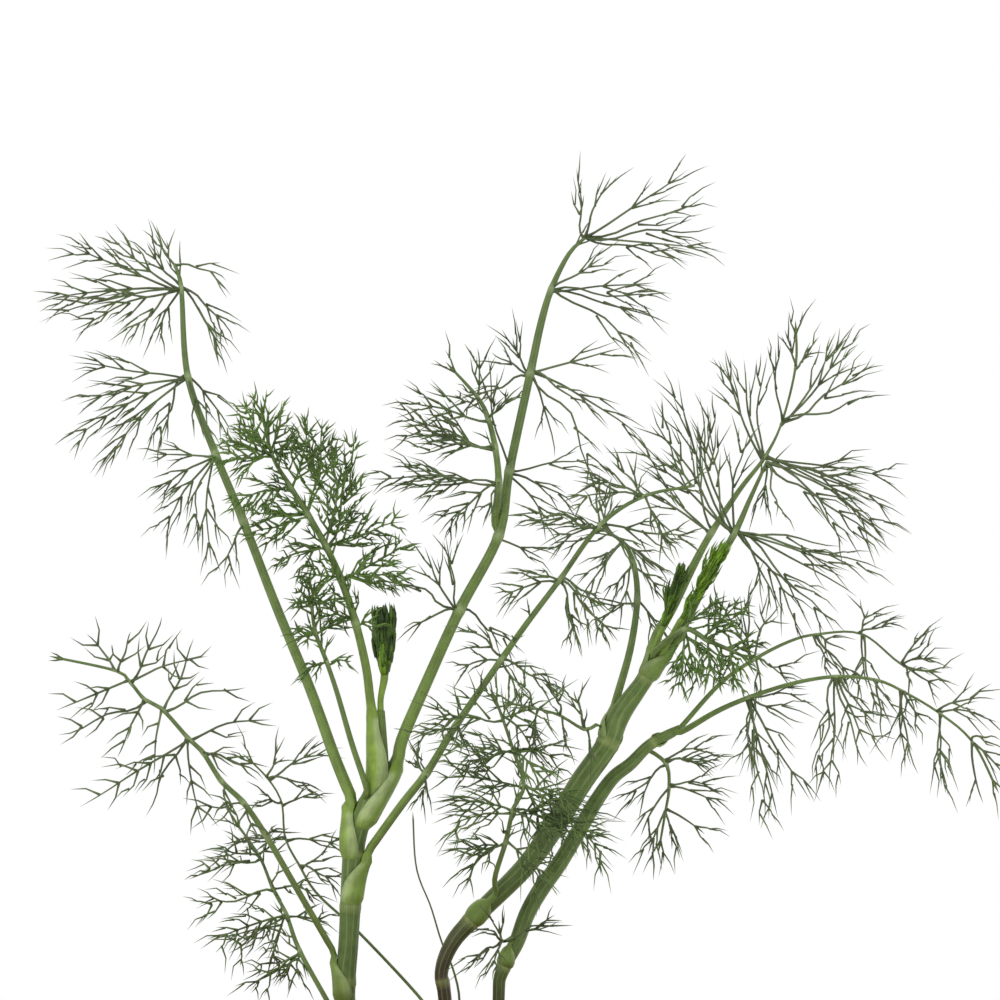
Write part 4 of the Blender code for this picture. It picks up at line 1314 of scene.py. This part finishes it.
@dataclass
class Pot:
    """A turned clay pot with a thick collar and drain holes."""

    wall: float = 5.0
    floor: float = 6.0
    collar_height: float = 24.0
    collar_overhang: float = 4.0
    foot_radius: float = 43.0
    rounding: float = 1.6
    drain_radius: float = 4.5
    drain_circle: float = 24.0
    drain_count: int = 3
    first_drain: float = 0.25  # where the first hole stands, in gaps between two holes
    sharp_edge: float = 40.0  # in degrees
    sides: int = 160

    def outline(self) -> list[tuple[float, float]]:
        """Returns the pot's outline, from the middle underneath to the middle of its floor."""
        low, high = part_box("pot")
        outer, height = high.x, high.z - low.z
        top = outer - self.collar_overhang * MM
        foot = self.foot_radius * MM

        def at(level: float) -> float:
            """Returns the wall's outer radius at a height."""
            return foot + (top - foot) * level / height

        wall, floor, collar = self.wall * MM, self.floor * MM, height - self.collar_height * MM
        corners = [
            (0.0, 0.0, 0.0),
            (at(0.0), 0.0, self.rounding),
            (at(collar), collar, 1.0),
            (outer - 1.0 * MM, collar, self.rounding),
            (outer, height, self.rounding),
            (top - wall, height, self.rounding),
            (at(floor) - wall, floor, 3.0),
            (0.0, floor, 0.0),
        ]
        points = [corners[0][:2]]
        for before, corner, after in zip(corners, corners[1:], corners[2:]):
            points += arc_corner(before[:2], corner[:2], after[:2], corner[2] * MM)
        points.append(corners[-1][:2])
        return [(radius, level + low.z) for radius, level in points]

    def drill(self, pot: bpy.types.Object) -> None:
        """Cuts the drain holes."""
        bm = bmesh.new()
        for number in range(self.drain_count):
            angle = 2 * math.pi * (number + self.first_drain) / self.drain_count
            made = bmesh.ops.create_cone(
                bm, cap_ends=True, segments=32, radius1=self.drain_radius * MM,
                radius2=self.drain_radius * MM, depth=3 * self.floor * MM,
            )
            centre = Vector((math.cos(angle), math.sin(angle), 0)) * self.drain_circle * MM
            bmesh.ops.translate(bm, verts=made["verts"], vec=centre + Vector((0, 0, self.floor / 2 * MM)))
        mesh = bpy.data.meshes.new("drills")
        bm.to_mesh(mesh)
        bm.free()
        drills = bpy.data.objects.new("drills", mesh)
        bpy.context.scene.collection.objects.link(drills)
        cut = pot.modifiers.new("drain holes", "BOOLEAN")
        cut.operation = "DIFFERENCE"
        cut.object = drills
        bpy.context.view_layer.update()
        drilled = bpy.data.meshes.new_from_object(pot.evaluated_get(bpy.context.evaluated_depsgraph_get()))
        pot.modifiers.clear()
        pot.data = drilled
        bpy.data.objects.remove(drills, do_unlink=True)

    def build(self) -> bpy.types.Object:
        """Returns the pot, turned, drilled and dressed in clay."""
        pot = turned_solid("pot_fine", self.outline(), self.sides)
        self.drill(pot)
        pot.data.materials.clear()
        pot.data.materials.append(ClayFinish().material())
        pot.data.shade_smooth()
        pot.data.set_sharp_from_angle(angle=math.radians(self.sharp_edge))
        return pot

    def make(self) -> None:
        """Builds the pot and settles it in the frame."""
        settle(self.build(), "pot", "pot")


@dataclass
class Soil:
    """Potting soil with an uneven top, loose crumbs and light grains."""

    rings: int = 60
    sides: int = 160
    unevenness: float = 1.1
    crumb_count: int = 520
    crumb_sizes: tuple[float, float] = (0.7, 3.2)  # the least and greatest radius
    grain_count: int = 46
    grain_sizes: tuple[float, float] = (0.6, 2.0)
    spread: float = 0.96  # how far out lumps lie, as a share of the radius
    rise: float = 0.3  # how far a lump's middle stands above the soil, as a share of its size
    # length of each set of waves in the top, and its share of the unevenness
    waves: ClassVar[tuple] = ((23.0, 0.4), (11.0, 0.3), (5.2, 0.25), (2.3, 0.14), (1.2, 0.08))

    def radius(self) -> float:
        """Returns the soil's radius at its edge."""
        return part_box("soil")[1].x

    def height_at(self, places: np.ndarray) -> np.ndarray:
        """Gives the height of the soil's top.

        Args:
            places: x and y of each place, in metres.

        Returns:
            The height at each place, in metres.
        """
        share = np.linalg.norm(places, axis=-1) / self.radius()
        crown = SoilLine.crown * (1 - share**2)
        x, y = places[..., 0] / MM, places[..., 1] / MM
        waves = np.zeros_like(x)
        for size, weight in self.waves:
            turn = size * 1.7
            across = np.sin((x * math.cos(turn) + y * math.sin(turn)) * 2 * math.pi / size + turn)
            along = np.cos((y * math.cos(turn) - x * math.sin(turn)) * 2 * math.pi / size * 1.13 + turn)
            waves += across * along * weight
        return SoilLine.level + crown + waves * self.unevenness * MM * np.clip(1 - share**6, 0.15, 1)

    def build_bed(self) -> bpy.types.Object:
        """Returns the body of soil."""
        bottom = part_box("soil")[0].z
        foot = self.radius() - (SoilLine.level - bottom) * self.wall_slope()
        angles = np.linspace(0, 2 * math.pi, self.sides, endpoint=False)
        circle = np.stack([np.cos(angles), np.sin(angles)], axis=1)
        loops = []
        for radius, height in ((foot * 0.5, bottom), (foot, bottom)):
            loops.append(np.column_stack([circle * radius, np.full(self.sides, height)]))
        for share in np.linspace(1.0, 1.5 / self.rings, self.rings):
            flat = circle * self.radius() * share
            loops.append(np.column_stack([flat, self.height_at(flat)]))
        middle = np.array([0.0, 0.0, float(self.height_at(np.zeros(2)))])
        mesh = PlantMesh()
        start = np.array([0.0, 0.0, bottom])
        mesh.loft(np.array(loops), np.zeros(3), PLAIN_SKIN, 0, start, middle)
        return mesh.finished("soil_fine", [SOIL_FINISH.material()])

    def wall_slope(self) -> float:
        """Returns how much the soil's radius grows with height, as the pot's inside does."""
        pot = Pot()
        low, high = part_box("pot")
        top = high.x - pot.collar_overhang * MM
        return (top - pot.foot_radius * MM) / (high.z - low.z)

    def lumps(
        self,
        name: str,
        count: int,
        sizes: tuple[float, float],
        finish: EarthFinish,
    ) -> bpy.types.Object:
        """Scatters irregular lumps over the soil.

        Args:
            name: The piece's name.
            count: How many lumps.
            sizes: Least and greatest radius in millimetres.
            finish: What they are finished in.

        Returns:
            The lumps as one object.
        """
        draw = np.random.default_rng(zlib.crc32(name.encode()))
        bm = bmesh.new()
        for _ in range(count):
            far = self.radius() * self.spread * math.sqrt(draw.uniform())
            angle = draw.uniform(0, 2 * math.pi)
            flat = np.array([math.cos(angle), math.sin(angle)]) * far
            size = sizes[0] + (sizes[1] - sizes[0]) * draw.uniform() ** 2.5
            made = bmesh.ops.create_icosphere(bm, subdivisions=2, radius=size * MM)
            stretch = draw.uniform(0.65, 1.25, 3) * np.array([1, 1, 0.8])
            phase = draw.uniform(0, 6, 3)
            height = float(self.height_at(flat)) + size * self.rise * MM
            for vert in made["verts"]:
                way = np.array(vert.co) / (size * MM)
                rough = 1 + 0.16 * np.sin(way * 4.1 + phase).sum() + 0.06 * np.sin(way * 9.0 - phase).sum()
                vert.co = Vector(np.array(vert.co) * stretch * rough + np.array([*flat, height]))
        mesh = bpy.data.meshes.new(name)
        bm.to_mesh(mesh)
        bm.free()
        mesh.materials.append(finish.material())
        piece = bpy.data.objects.new(name, mesh)
        bpy.context.scene.collection.objects.link(piece)
        return piece

    def make(self) -> None:
        """Builds the soil with its crumbs and grains, and settles them in the frame."""
        settle(self.build_bed(), "soil", "soil")
        settle(self.lumps("soil_crumbs", self.crumb_count, self.crumb_sizes, CRUMB_FINISH), "soil")
        settle(self.lumps("soil_grains", self.grain_count, self.grain_sizes, GRIT_FINISH), "soil")


@dataclass
class Studio:
    """A plain pale floor, soft light and a long lens from straight in front."""

    view_width: float = 280.0  # what the picture takes in, in mm
    view_foot: float = 22.0  # its lower edge, in mm above the soil's edge
    view_left: float = 117.6  # its left edge, in mm from the pot's axis
    distance: float = 2.4
    floor_radius: float = 1.15
    floor_drop: float = 0.2  # between the pot's foot and the floor, in mm
    floor_shade: float = 0.9

    def camera(self) -> None:
        """Sets the camera level, looking along +Y."""
        data = bpy.data.cameras.new("camera")
        data.lens = data.sensor_width * self.distance / (self.view_width * MM)
        data.clip_start = 0.05
        camera = bpy.data.objects.new("camera", data)
        middle = (self.view_width / 2 - self.view_left) * MM
        height = SoilLine.level + (self.view_foot + self.view_width / 2) * MM
        camera.location = (middle, -self.distance, height)
        camera.rotation_euler = (math.radians(90), 0, 0)
        bpy.context.scene.collection.objects.link(camera)
        bpy.context.scene.camera = camera

    def floor(self) -> None:
        """Lays the floor."""
        bm = bmesh.new()
        bmesh.ops.create_circle(bm, cap_ends=True, segments=128, radius=self.floor_radius)
        mesh = bpy.data.meshes.new("floor")
        bm.to_mesh(mesh)
        bm.free()
        material, nodes = new_material("pale floor")
        shader = nodes.tree.nodes["Principled BSDF"]
        shader.inputs["Base Color"].default_value = (*[self.floor_shade] * 3, 1)
        shader.inputs["Roughness"].default_value = 0.9
        shader.inputs["Specular IOR Level"].default_value = 0.1
        mesh.materials.append(material)
        floor = bpy.data.objects.new("floor", mesh)
        floor.location.z = cad_low.z - self.floor_drop * MM
        bpy.context.scene.collection.objects.link(floor)

    def light(self, name: str, place: Place, size: float, power: float) -> None:
        """Adds a soft square light that faces the plants.

        Args:
            name: The light's name.
            place: Where it stands, in metres.
            size: Its side in metres.
            power: Its power in watts.
        """
        data = bpy.data.lights.new(name, "AREA")
        data.size = size
        data.energy = power
        lamp = bpy.data.objects.new(name, data)
        lamp.location = place
        target = (Vector(cad_low) + Vector(cad_high)) / 2
        lamp.rotation_euler = (target - Vector(place)).to_track_quat("-Z", "Y").to_euler()
        bpy.context.scene.collection.objects.link(lamp)

    def world(self) -> None:
        """Surrounds everything with even white light."""
        world = bpy.data.worlds.new("white surround")
        world.use_nodes = True
        surround = world.node_tree.nodes["Background"]
        surround.inputs["Color"].default_value = (1, 1, 1, 1)
        surround.inputs["Strength"].default_value = 1.0
        bpy.context.scene.world = world
        bpy.context.scene.view_settings.view_transform = "Standard"

    def make(self) -> None:
        """Sets up the whole studio."""
        self.camera()
        self.floor()
        self.world()
        self.light("key", (-1.3, -1.6, 1.5), 1.2, 14.0)
        self.light("fill", (1.6, -0.9, 0.9), 1.4, 5.0)


STEMS = [
    Stem(
        "left_stem",
        [(-21, 0, -16), (-21, 0, 22), (-20, 0, 39), (-19, 0, 58), (-18, 0, 68), (-15, 0, 76), (-12, 0, 83),
         (-11, 0, 88), (-11, 0, 96), (-11, 0, 103)],
        [2.7, 2.8, 2.8, 3.0, 3.1, 2.8, 2.4, 2.2, 1.7, 1.15],
        aged_to=8, joints=[9, 21, 27, 48, 63],
    ),
    Stem(
        "middle_stem",
        [(10, -2, -16), (7, -2, 22), (6, -2, 30), (9, -2, 38), (15, -2, 45), (29, -3, 59), (37, -3, 70),
         (45, -3, 83), (52, -2, 93), (56, -1, 102), (63, 0, 112), (68, 0, 122)],
        [1.9, 1.9, 1.9, 2.2, 2.5, 2.8, 3.1, 3.2, 3.2, 3.0, 2.3, 1.6],
        aged_to=62, joints=[27, 44, 94, 112],
    ),
    Stem(
        "right_stem",
        [(22, 2, -16), (22, 2, 22), (23, 2, 30), (27, 3, 38), (30, 4, 46), (34, 5, 53), (39, 5, 60),
         (45, 5, 70), (49, 5, 77), (54, 5, 84), (59, 5, 88), (64, 5, 93), (69, 5, 96), (73, 5, 98)],
        [1.7, 1.7, 1.9, 2.2, 2.3, 2.4, 2.3, 2.2, 2.1, 1.95, 1.8, 1.6, 1.35, 1.05],
        aged_to=34, joints=[31, 94],
    ),
]

FURLED = [
    FurledLeaf(
        "left_bud", "left_stem", None, 0,
        [(-10, 0, 112), (-10, 0, 116), (-10, 0, 122), (-10, 0, 128), (-11, 0, 133)],
        [0.9, 0.85, 1.1, 2.6, 3.3, 3.2, 0.8],
        brush_from=0.34, fresh=0.25, threads=120, thread_length=8.0, thread_radius=0.62, lean=4.0,
    ),
    FurledLeaf(
        "middle_bud_dark", "middle_stem", 118, 195,
        [(69, 1, 129), (71, 1, 136), (73, 1, 141), (74, 1, 145)],
        [0.8, 1.0, 2.2, 1.6, 0.4],
        brush_from=0.3, fresh=0.4, threads=70,
    ),
    FurledLeaf(
        "middle_bud_bright", "middle_stem", 118, 310,
        [(76, -9, 134), (79, -11, 139), (82, -12, 145), (84, -12, 148), (86, -12, 151)],
        [0.8, 1.0, 1.7, 1.9, 1.5, 0.4],
        brush_from=0.35, fresh=0.9, threads=80,
    ),
]

LEAVES = [
    Leaf(
        "left_leaf_base", "left_stem", height=9, heading=160, sheath=7, layer=0,
        radius=0.8, tip_radius=0.35, habit=Habit.NETTED,
        route=[
            (-34, 14, 35), (-38, 22, 45), (-42, 28, 52), (-46, 33, 61), (-54, 38, 72),
        ],
        pinnae={
            1: [(-50, 20, 23), (-34, 8, 27), (-40, 26, 26)],
            2: [(-26, 30, 42), (-60, 18, 37), (-55, 36, 33), (-44, 40, 26)],
            3: [(-64, 32, 46), (-30, 36, 51)],
            4: [(-64, 44, 56), (-59, 26, 63), (-41, 38, 65)],
        },
    ),
    Leaf(
        "left_leaf_low", "left_stem", height=21, heading=190, sheath=11, layer=0,
        radius=0.95, tip_radius=0.35, habit=Habit.SPARE, end_branch=4.0,
        route=[
            (-34, -8, 53), (-43, -14, 69), (-49, -18, 78), (-55, -20, 84), (-60, -23, 92),
            (-64, -25, 96), (-71, -28, 104), (-76, -30, 107), (-80, -33, 112), (-84, -35, 115),
            (-102, -38, 119),
        ],
        pinnae={
            2: [(-55, -8, 66), (-36, -22, 71)],
            3: [(-63, -14, 76), (-44, -26, 67)],
            4: [(-53, -26, 76)],
            5: [(-43, -18, 84), (-51, -30, 88)],
            6: [(-41, -20, 101), (-94, -32, 77), (-59, -30, 70), (-76, -22, 74)],
            7: [(-48, -24, 110), (-62, -36, 124), (-73, -38, 86)],
            8: [(-100, -28, 97), (-83, -40, 91)],
            9: [(-71, -30, 130), (-58, -42, 119), (-100, -40, 104)],
            10: [(-79, -44, 126), (-92, -30, 125)],
        },
    ),
    Leaf(
        "left_leaf_front", "left_stem", height=48, heading=-20, sheath=13, layer=0,
        radius=1.3, tip_radius=0.35, habit=Habit.FULL, puff=0.2, tender=0.7,
        route=[
            (-5, -8, 77), (2, -10, 86), (10, -14, 99), (23, -19, 118), (30, -23, 128),
            (39, -27, 140), (50, -32, 155), (62, -36, 163), (76, -40, 166),
        ],
        pinnae={
            2: [(-2, -4, 90), (0, -14, 78)],
            3: [(-3, -20, 95), (14, -24, 93)],
            4: [(10, -12, 114), (28, -21, 105), (39, -26, 109), (13, -26, 128)],
            6: [(21, -20, 133), (28, -34, 142), (43, -20, 121), (54, -34, 123), (50, -22, 134)],
            7: [(26, -26, 155), (36, -38, 149), (50, -28, 170), (78, -28, 151), (66, -40, 142)],
            8: [(42, -30, 161), (44, -44, 168), (54, -34, 172), (69, -46, 148)],
            9: [(69, -36, 173)],
        },
    ),
    Leaf(
        "left_leaf_tall", "left_stem", height=61, heading=170, sheath=13, layer=0,
        radius=1.8, tip_radius=0.4, puff=0.5, tender=0.8,
        route=[
            (-24, 4, 90), (-31, 9, 109), (-41, 14, 133), (-50, 18, 156), (-58, 22, 175),
            (-66, 27, 197), (-68, 31, 222), (-70, 33, 229),
        ],
        pinnae={
            4: [(-55, 8, 142)],
            5: [(-77, 32, 175), (-76, 14, 163), (-74, 28, 152), (-64, 12, 151), (-59, 24, 143)],
            6: [
                (-99, 34, 201), (-97, 20, 189), (-101, 34, 178), (-91, 24, 170), (-54, 38, 181),
                (-61, 20, 179), (-76, 34, 176),
            ],
            7: [
                (-101, 30, 235), (-90, 40, 239), (-109, 32, 218), (-108, 20, 212), (-100, 42, 210),
                (-85, 26, 205), (-76, 38, 206), (-53, 24, 207), (-56, 38, 201), (-78, 36, 235),
            ],
            8: [(-76, 42, 238), (-55, 26, 224)],
        },
    ),
    Leaf(
        "left_leaf_young", "left_stem", height=78, heading=235, sheath=0, layer=2,
        radius=0.95, tip_radius=0.3, habit=Habit.DENSE,
        route=[
            (-19, -6, 94), (-23, -8, 108), (-26, -10, 117), (-29, -11, 125), (-30, -12, 133),
            (-29, -12, 140),
        ],
        pinnae={
            3: [(-19, -4, 117), (-34, -16, 113)],
            4: [(-35, -16, 126), (-21, -6, 128), (-36, -8, 122)],
            5: [(-35, -6, 135), (-21, -16, 135), (-34, -18, 138)],
        },
    ),
    Leaf(
        "centre_leaf_tall", "left_stem", height=70, heading=15, sheath=18, layer=1,
        radius=1.9, tip_radius=0.4, habit=Habit.AIRY, puff=0.8, tender=0.9,
        route=[
            (-5, 4, 95), (1, 8, 109), (11, 14, 131), (22, 20, 152), (25, 23, 170), (31, 28, 198),
            (34, 31, 212), (37, 34, 222), (42, 37, 232), (47, 39, 237),
        ],
        pinnae={
            3: [(1, 20, 149), (9, 8, 149), (-13, 14, 141), (-7, 6, 122), (28, 20, 119)],
            4: [(35, 26, 145)],
            5: [(36, 32, 156), (43, 18, 161), (50, 28, 174), (19, 14, 203)],
            6: [
                (14, 30, 189), (26, 26, 208), (20, 38, 204), (57, 22, 205), (38, 38, 174),
                (50, 30, 168), (63, 36, 179), (46, 20, 187),
            ],
            8: [(67, 42, 224), (71, 30, 218), (71, 46, 212), (66, 36, 201), (52, 30, 231)],
            10: [
                (46, 46, 254), (54, 34, 254), (76, 36, 256), (81, 48, 249), (84, 38, 240),
                (85, 32, 233), (75, 46, 231),
            ],
        },
    ),
    Leaf(
        "centre_leaf_fork", "centre_leaf_tall", height=153, heading=180, sheath=0, layer=0,
        radius=1.2, tip_radius=0.3, habit=Habit.FULL,
        route=[
            (22, 16, 167), (21, 15, 177), (19, 14, 185), (16, 13, 191), (7, 12, 201),
        ],
        pinnae={
            1: [(-15, 8, 168), (-6, 22, 164), (5, 10, 152), (19, 4, 157)],
            2: [(-7, 22, 187), (-5, 6, 182), (-2, 14, 175)],
            3: [(-6, 14, 191), (26, 6, 191)],
            4: [(11, 4, 189), (16, 20, 205)],
        },
    ),
    Leaf(
        "left_leaf_dense", "left_stem", height=79, heading=190, sheath=23, layer=0,
        radius=1.35, tip_radius=0.3, habit=Habit.DENSE, puff=1.2, tender=1.0,
        route=[
            (-15, -4, 115), (-18, -8, 128), (-22, -11, 140), (-26, -14, 149), (-31, -17, 158),
            (-36, -20, 166), (-41, -23, 175), (-44, -27, 190),
        ],
        pinnae={
            2: [(-12, -8, 128), (-28, -16, 134)],
            3: [(-2, -4, 150), (-2, -20, 141), (-34, -20, 142)],
            4: [(-4, -8, 156), (-19, -14, 183), (-41, -24, 145), (-25, -26, 179)],
            5: [(-49, -26, 152), (-48, -12, 158), (-27, -10, 185)],
            6: [(-31, -26, 186), (-54, -30, 161)],
            7: [(-59, -34, 172), (-55, -20, 180), (-32, -12, 176), (-49, -34, 189), (-38, -20, 190)],
        },
    ),
    Leaf(
        "middle_stalk_thin", "middle_stem", height=8, heading=50, sheath=0, layer=0,
        radius=0.4, tip_radius=0.25,
        route=[
            (11, 6, 22), (9, 6, 31), (6, 6, 38), (3, 3, 48), (-1, 0, 59), (-2, -4, 75),
        ],
        pinnae={},
    ),
    Leaf(
        "middle_leaf_back", "middle_stem", height=12, heading=140, sheath=0, layer=0,
        radius=0.5, tip_radius=0.25,
        route=[
            (0, 9, 22), (-17, 12, 40), (-29, 14, 51), (-34, 13, 59), (-38, 11, 67), (-39, 9, 77),
            (-43, 7, 84), (-50, 6, 91),
        ],
        pinnae={
            4: [(-26, 18, 63), (-22, 6, 53)],
            5: [(-22, 16, 64), (-49, 4, 65)],
            6: [(-31, 14, 79), (-46, 2, 78)],
            7: [(-28, 10, 92), (-27, 2, 80), (-40, 0, 90)],
        },
    ),
    Leaf(
        "middle_leaf_low", "middle_stem", height=44, heading=255, sheath=8, layer=0,
        radius=0.85, tip_radius=0.35, habit=Habit.BUSHY,
        route=[
            (21, -12, 57), (24, -18, 67), (26, -22, 76), (29, -25, 83), (26, -29, 93),
            (23, -32, 102), (20, -34, 110),
        ],
        pinnae={
            2: [(11, -22, 64), (13, -12, 58), (35, -14, 54)],
            3: [(8, -28, 72), (10, -14, 78), (50, -24, 68), (39, -32, 67)],
            4: [(8, -32, 86), (44, -30, 79), (54, -26, 60), (34, -16, 65)],
            5: [(8, -36, 95), (11, -24, 87), (39, -28, 90), (34, -40, 85)],
            6: [(3, -34, 102), (36, -40, 105), (31, -28, 94)],
        },
    ),
    Leaf(
        "middle_leaf_inner", "middle_stem", height=95, heading=200, sheath=0, layer=1,
        radius=0.6, tip_radius=0.3, habit=Habit.FULL,
        route=[
            (46, -8, 98), (39, -11, 102), (32, -13, 104), (22, -15, 106),
        ],
        pinnae={
            1: [(48, -12, 90), (43, -6, 109)],
            2: [(41, -16, 92), (37, -16, 112)],
            3: [(31, -8, 95), (28, -8, 112)],
        },
    ),
    Leaf(
        "middle_leaf_upright", "middle_stem", height=94, heading=130, sheath=8, layer=0,
        radius=1.25, tip_radius=0.35,
        route=[
            (59, 9, 120), (61, 11, 134), (60, 13, 144), (57, 14, 150), (51, 15, 154),
        ],
        pinnae={
            2: [(52, 10, 131), (68, 16, 123)],
            3: [(68, 20, 136), (54, 20, 136), (58, 6, 132)],
            4: [(67, 8, 142), (50, 6, 145), (45, 18, 134)],
            5: [(36, 20, 149), (43, 10, 156), (52, 18, 162)],
        },
    ),
    Leaf(
        "middle_leaf_umbrella", "middle_stem", height=112, heading=140, sheath=8, layer=0,
        radius=1.35, tip_radius=0.35, habit=Habit.AIRY, taper=(1.25, 0.95, 0.62, 0.25),
        route=[
            (71, 7, 132), (77, 10, 144), (82, 12, 153), (90, 15, 165), (97, 17, 174),
            (102, 20, 184), (106, 23, 200), (106, 25, 213),
        ],
        pinnae={
            3: [(66, 20, 170), (62, 10, 165), (78, 16, 179)],
            5: [
                (86, 26, 204), (91, 12, 202), (98, 22, 203), (137, 28, 168), (134, 14, 160),
                (125, 24, 165), (129, 34, 159), (135, 22, 151),
            ],
            6: [(117, 24, 207), (123, 34, 212), (128, 28, 203), (128, 18, 191), (100, 14, 205)],
            7: [(110, 30, 204), (104, 18, 208)],
        },
    ),
    Leaf(
        "middle_leaf_right", "middle_stem", height=112, heading=-30, sheath=8, layer=1,
        radius=1.2, tip_radius=0.4, habit=Habit.AIRY, taper=(1.3, 1.0, 0.85, 0.6),
        route=[
            (80, -5, 139), (88, -8, 153), (92, -9, 162), (97, -10, 173),
        ],
        pinnae={
            2: [
                (72, -14, 196), (78, -4, 192), (81, -20, 188), (92, -8, 182), (64, -22, 189),
                (59, -10, 179), (130, -16, 142), (118, -4, 149), (120, -24, 142), (122, -12, 135),
                (116, -20, 124), (108, -4, 123), (100, -14, 130),
            ],
            4: [(99, -20, 157), (95, -2, 159), (123, -12, 166), (130, -22, 147), (120, -4, 150)],
        },
    ),
    Leaf(
        "middle_leaf_dense", "middle_stem", height=117, heading=250, sheath=0, layer=2,
        radius=1.0, tip_radius=0.3, habit=Habit.DENSE,
        route=[
            (74, -11, 126), (80, -14, 123), (87, -17, 120), (93, -19, 117),
        ],
        pinnae={
            1: [(85, -18, 134), (78, -10, 109), (72, -16, 108)],
            2: [(90, -12, 134), (90, -22, 125), (83, -20, 110)],
            3: [(95, -14, 123), (89, -24, 109), (85, -10, 114)],
        },
    ),
    Leaf(
        "right_leaf_small", "right_stem", height=31, heading=235, sheath=6, layer=0,
        radius=0.6, tip_radius=0.3,
        route=[
            (23, -8, 39), (22, -10, 45),
        ],
        pinnae={
            1: [(39, -16, 45), (18, -14, 43), (13, -12, 33), (20, -18, 32)],
        },
    ),
    Leaf(
        "right_leaf_hanging", "right_stem", height=90, heading=100, sheath=0, layer=0,
        radius=0.7, tip_radius=0.3,
        route=[
            (69, 10, 88), (70, 13, 81), (69, 16, 74), (67, 18, 62),
        ],
        pinnae={
            1: [(82, 16, 92), (83, 4, 88), (84, 20, 86), (57, 6, 77)],
            2: [(83, 10, 82), (85, 22, 75), (62, 16, 67)],
            3: [(80, 10, 68), (64, 12, 62), (71, 24, 63)],
        },
    ),
    Leaf(
        "right_leaf_upper", "right_stem", height=94, heading=60, sheath=4, layer=0,
        radius=1.05, tip_radius=0.35, habit=Habit.LOOSE, taper=(0.85, 0.6, 0.42, 0.28),
        route=[
            (84, 12, 110), (94, 17, 117), (104, 21, 122), (112, 24, 124), (125, 28, 124),
            (137, 31, 115), (148, 33, 113),
        ],
        pinnae={
            2: [
                (94, 26, 140), (90, 12, 135), (85, 22, 133), (102, 30, 133), (106, 26, 114),
                (96, 14, 105),
            ],
            4: [(117, 30, 114), (125, 22, 109), (121, 34, 119)],
            5: [(134, 22, 126), (127, 34, 131), (127, 34, 108), (129, 24, 102)],
            6: [(143, 40, 124), (143, 26, 118), (148, 38, 108), (139, 22, 109)],
        },
    ),
    Leaf(
        "right_leaf_lower", "right_stem", height=97, heading=-40, sheath=0, layer=1,
        radius=1.2, tip_radius=0.35, habit=Habit.LOOSE, taper=(0.85, 0.58, 0.4, 0.28),
        route=[
            (83, -6, 103), (92, -10, 107), (104, -15, 111), (116, -20, 113), (127, -24, 112),
            (134, -27, 109), (144, -31, 103), (153, -34, 95), (160, -37, 81),
        ],
        pinnae={
            2: [
                (100, -8, 73), (96, -18, 72), (109, -14, 78), (91, -18, 86), (90, -4, 94),
                (107, -22, 100), (109, -8, 108),
            ],
            4: [(109, -26, 84), (114, -14, 81), (124, -32, 88), (125, -20, 93), (127, -30, 100)],
            5: [(131, -32, 106), (129, -18, 95)],
            6: [(135, -22, 89), (138, -34, 86), (140, -38, 100)],
            7: [(159, -38, 107), (157, -26, 102), (146, -38, 80), (145, -26, 87)],
            8: [(160, -44, 96), (156, -32, 78), (162, -40, 85)],
        },
    ),
]


def main() -> None:
    """Builds every sub-assembly in order, from the stage up to the leaves."""
    logging.basicConfig(level=logging.INFO, format="%(name)s: %(message)s")
    Studio().make()
    Pot().make()
    Soil().make()
    paths: dict[str, Path] = {}
    for stem in STEMS:
        stem.make(paths)
    for furled in FURLED:
        furled.make(paths)
    for leaf in LEAVES:
        leaf.make(paths)


if __name__ == "__main__":
    main()
